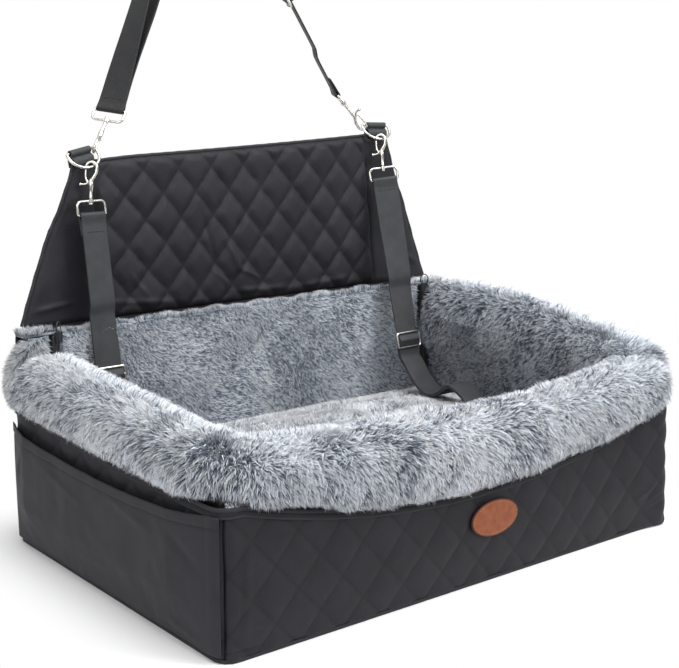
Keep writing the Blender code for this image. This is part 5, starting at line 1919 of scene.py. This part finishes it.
# Floor, lamps and camera
work = bmesh.new()
bmesh.ops.create_grid(work, x_segments=1, y_segments=1, size=6)
floor = pieceFrom("floor", work)
floor.location.z = -0.0005
# white paper sweep: it keeps the soft shadow at the base and runs out to plain white
paper, tree, shader = newMaterial("whitePaper", Roughness=0.9)
shader.inputs["Base Color"].default_value = rgba("#f7f7f7")
shader.inputs["Specular IOR Level"].default_value = 0.0
spot = addNode(tree, "ShaderNodeSeparateXYZ", {"Vector": ownPlace(tree)})
squares = []
for axis, halfSize in (("X", 0.27), ("Y", 0.18)):
    outside = mathNode(tree, "SUBTRACT", mathNode(tree, "ABSOLUTE", spot.outputs[axis]), halfSize)
    outside = mathNode(tree, "MAXIMUM", outside, 0.0)
    squares.append(mathNode(tree, "MULTIPLY", outside, outside))
square = mathNode(tree, "ADD", *squares)
fade = addNode(
    tree, "ShaderNodeMapRange",
    {"Value": mathNode(tree, "SQRT", square), "From Min": 0.015, "From Max": 0.12},
    interpolation_type="SMOOTHSTEP",
)
glow = addNode(tree, "ShaderNodeEmission", {"Color": (1, 1, 1, 1), "Strength": 1.0})
blended = addNode(
    tree, "ShaderNodeMixShader", {"Fac": fade.outputs["Result"], 1: shader.outputs[0], 2: glow.outputs[0]},
)
tree.links.new(blended.outputs[0], tree.nodes["Material Output"].inputs["Surface"])
floor.data.materials.append(paper)

world = bpy.data.worlds.new("studio")
bpy.context.scene.world = world
world.use_nodes = True
tree = world.node_tree
tree.nodes.clear()
rays = addNode(tree, "ShaderNodeLightPath")
# mirrors see a studio: dark walls at eye level and a bright ceiling
height = addNode(
    tree, "ShaderNodeSeparateXYZ", {"Vector": addNode(tree, "ShaderNodeTexCoord").outputs["Generated"]},
).outputs["Z"]
walled = ramp(
    tree, mathNode(tree, "MULTIPLY_ADD", height, 0.5, 0.5),
    [
        (0.0, "#9a9a9a"), (0.42, "#a0a0a0"), (0.50, "#707072"), (0.55, "#707072"), (0.61, "#eeeeee"),
        (1.0, "#ffffff"),
    ],
)
mirrored, lit, white = (
    addNode(tree, "ShaderNodeBackground", {"Color": colour, "Strength": strength}).outputs[0]
    for colour, strength in ((walled, 1.0), ((1, 1, 1, 1), 0.62), ((1, 1, 1, 1), 1.0))
)
surrounds = lit
for ray, seen in (("Is Glossy Ray", mirrored), ("Is Camera Ray", white)):
    inputs = {"Fac": rays.outputs[ray], 1: surrounds, 2: seen}
    surrounds = addNode(tree, "ShaderNodeMixShader", inputs).outputs[0]
addNode(tree, "ShaderNodeOutputWorld", {"Surface": surrounds})


def addLamp(name, place, target, size, power):
    lamp = bpy.data.lights.new(name, "AREA")
    lamp.size = size
    lamp.energy = power
    made = bpy.data.objects.new(name, lamp)
    bpy.context.scene.collection.objects.link(made)
    made.location = place
    made.rotation_euler = (Vector(target) - Vector(place)).to_track_quat("-Z", "Y").to_euler()


addLamp("keyLamp", (1.15, -1.65, 1.75), (0, 0, 0.15), 1.1, 36)
addLamp("fillLamp", (-1.9, -1.2, 1.5), (0, 0, 0.15), 1.6, 18)
addLamp("topLamp", (0.0, -0.35, 1.9), (0, 0, 0.1), 1.2, 26)

view = {
    "place": (-0.8366, -1.0444, 0.4849), "azimuth": 38.4, "elevation": 11.5, "focal": 1321.0, "wide": 679,
}
lens = bpy.data.cameras.new("camera")
lens.sensor_width = 36
lens.lens = view["focal"] / view["wide"] * 36
lens.clip_start = 0.02
camera = bpy.data.objects.new("camera", lens)
bpy.context.scene.collection.objects.link(camera)
camera.location = view["place"]
azimuth, elevation = radians(view["azimuth"]), radians(view["elevation"])
look = Vector((sin(azimuth) * cos(elevation), cos(azimuth) * cos(elevation), -sin(elevation)))
camera.rotation_euler = look.to_track_quat("-Z", "Y").to_euler()
bpy.context.scene.camera = camera
bpy.context.scene.view_settings.view_transform = "Standard"

print("scene ready")
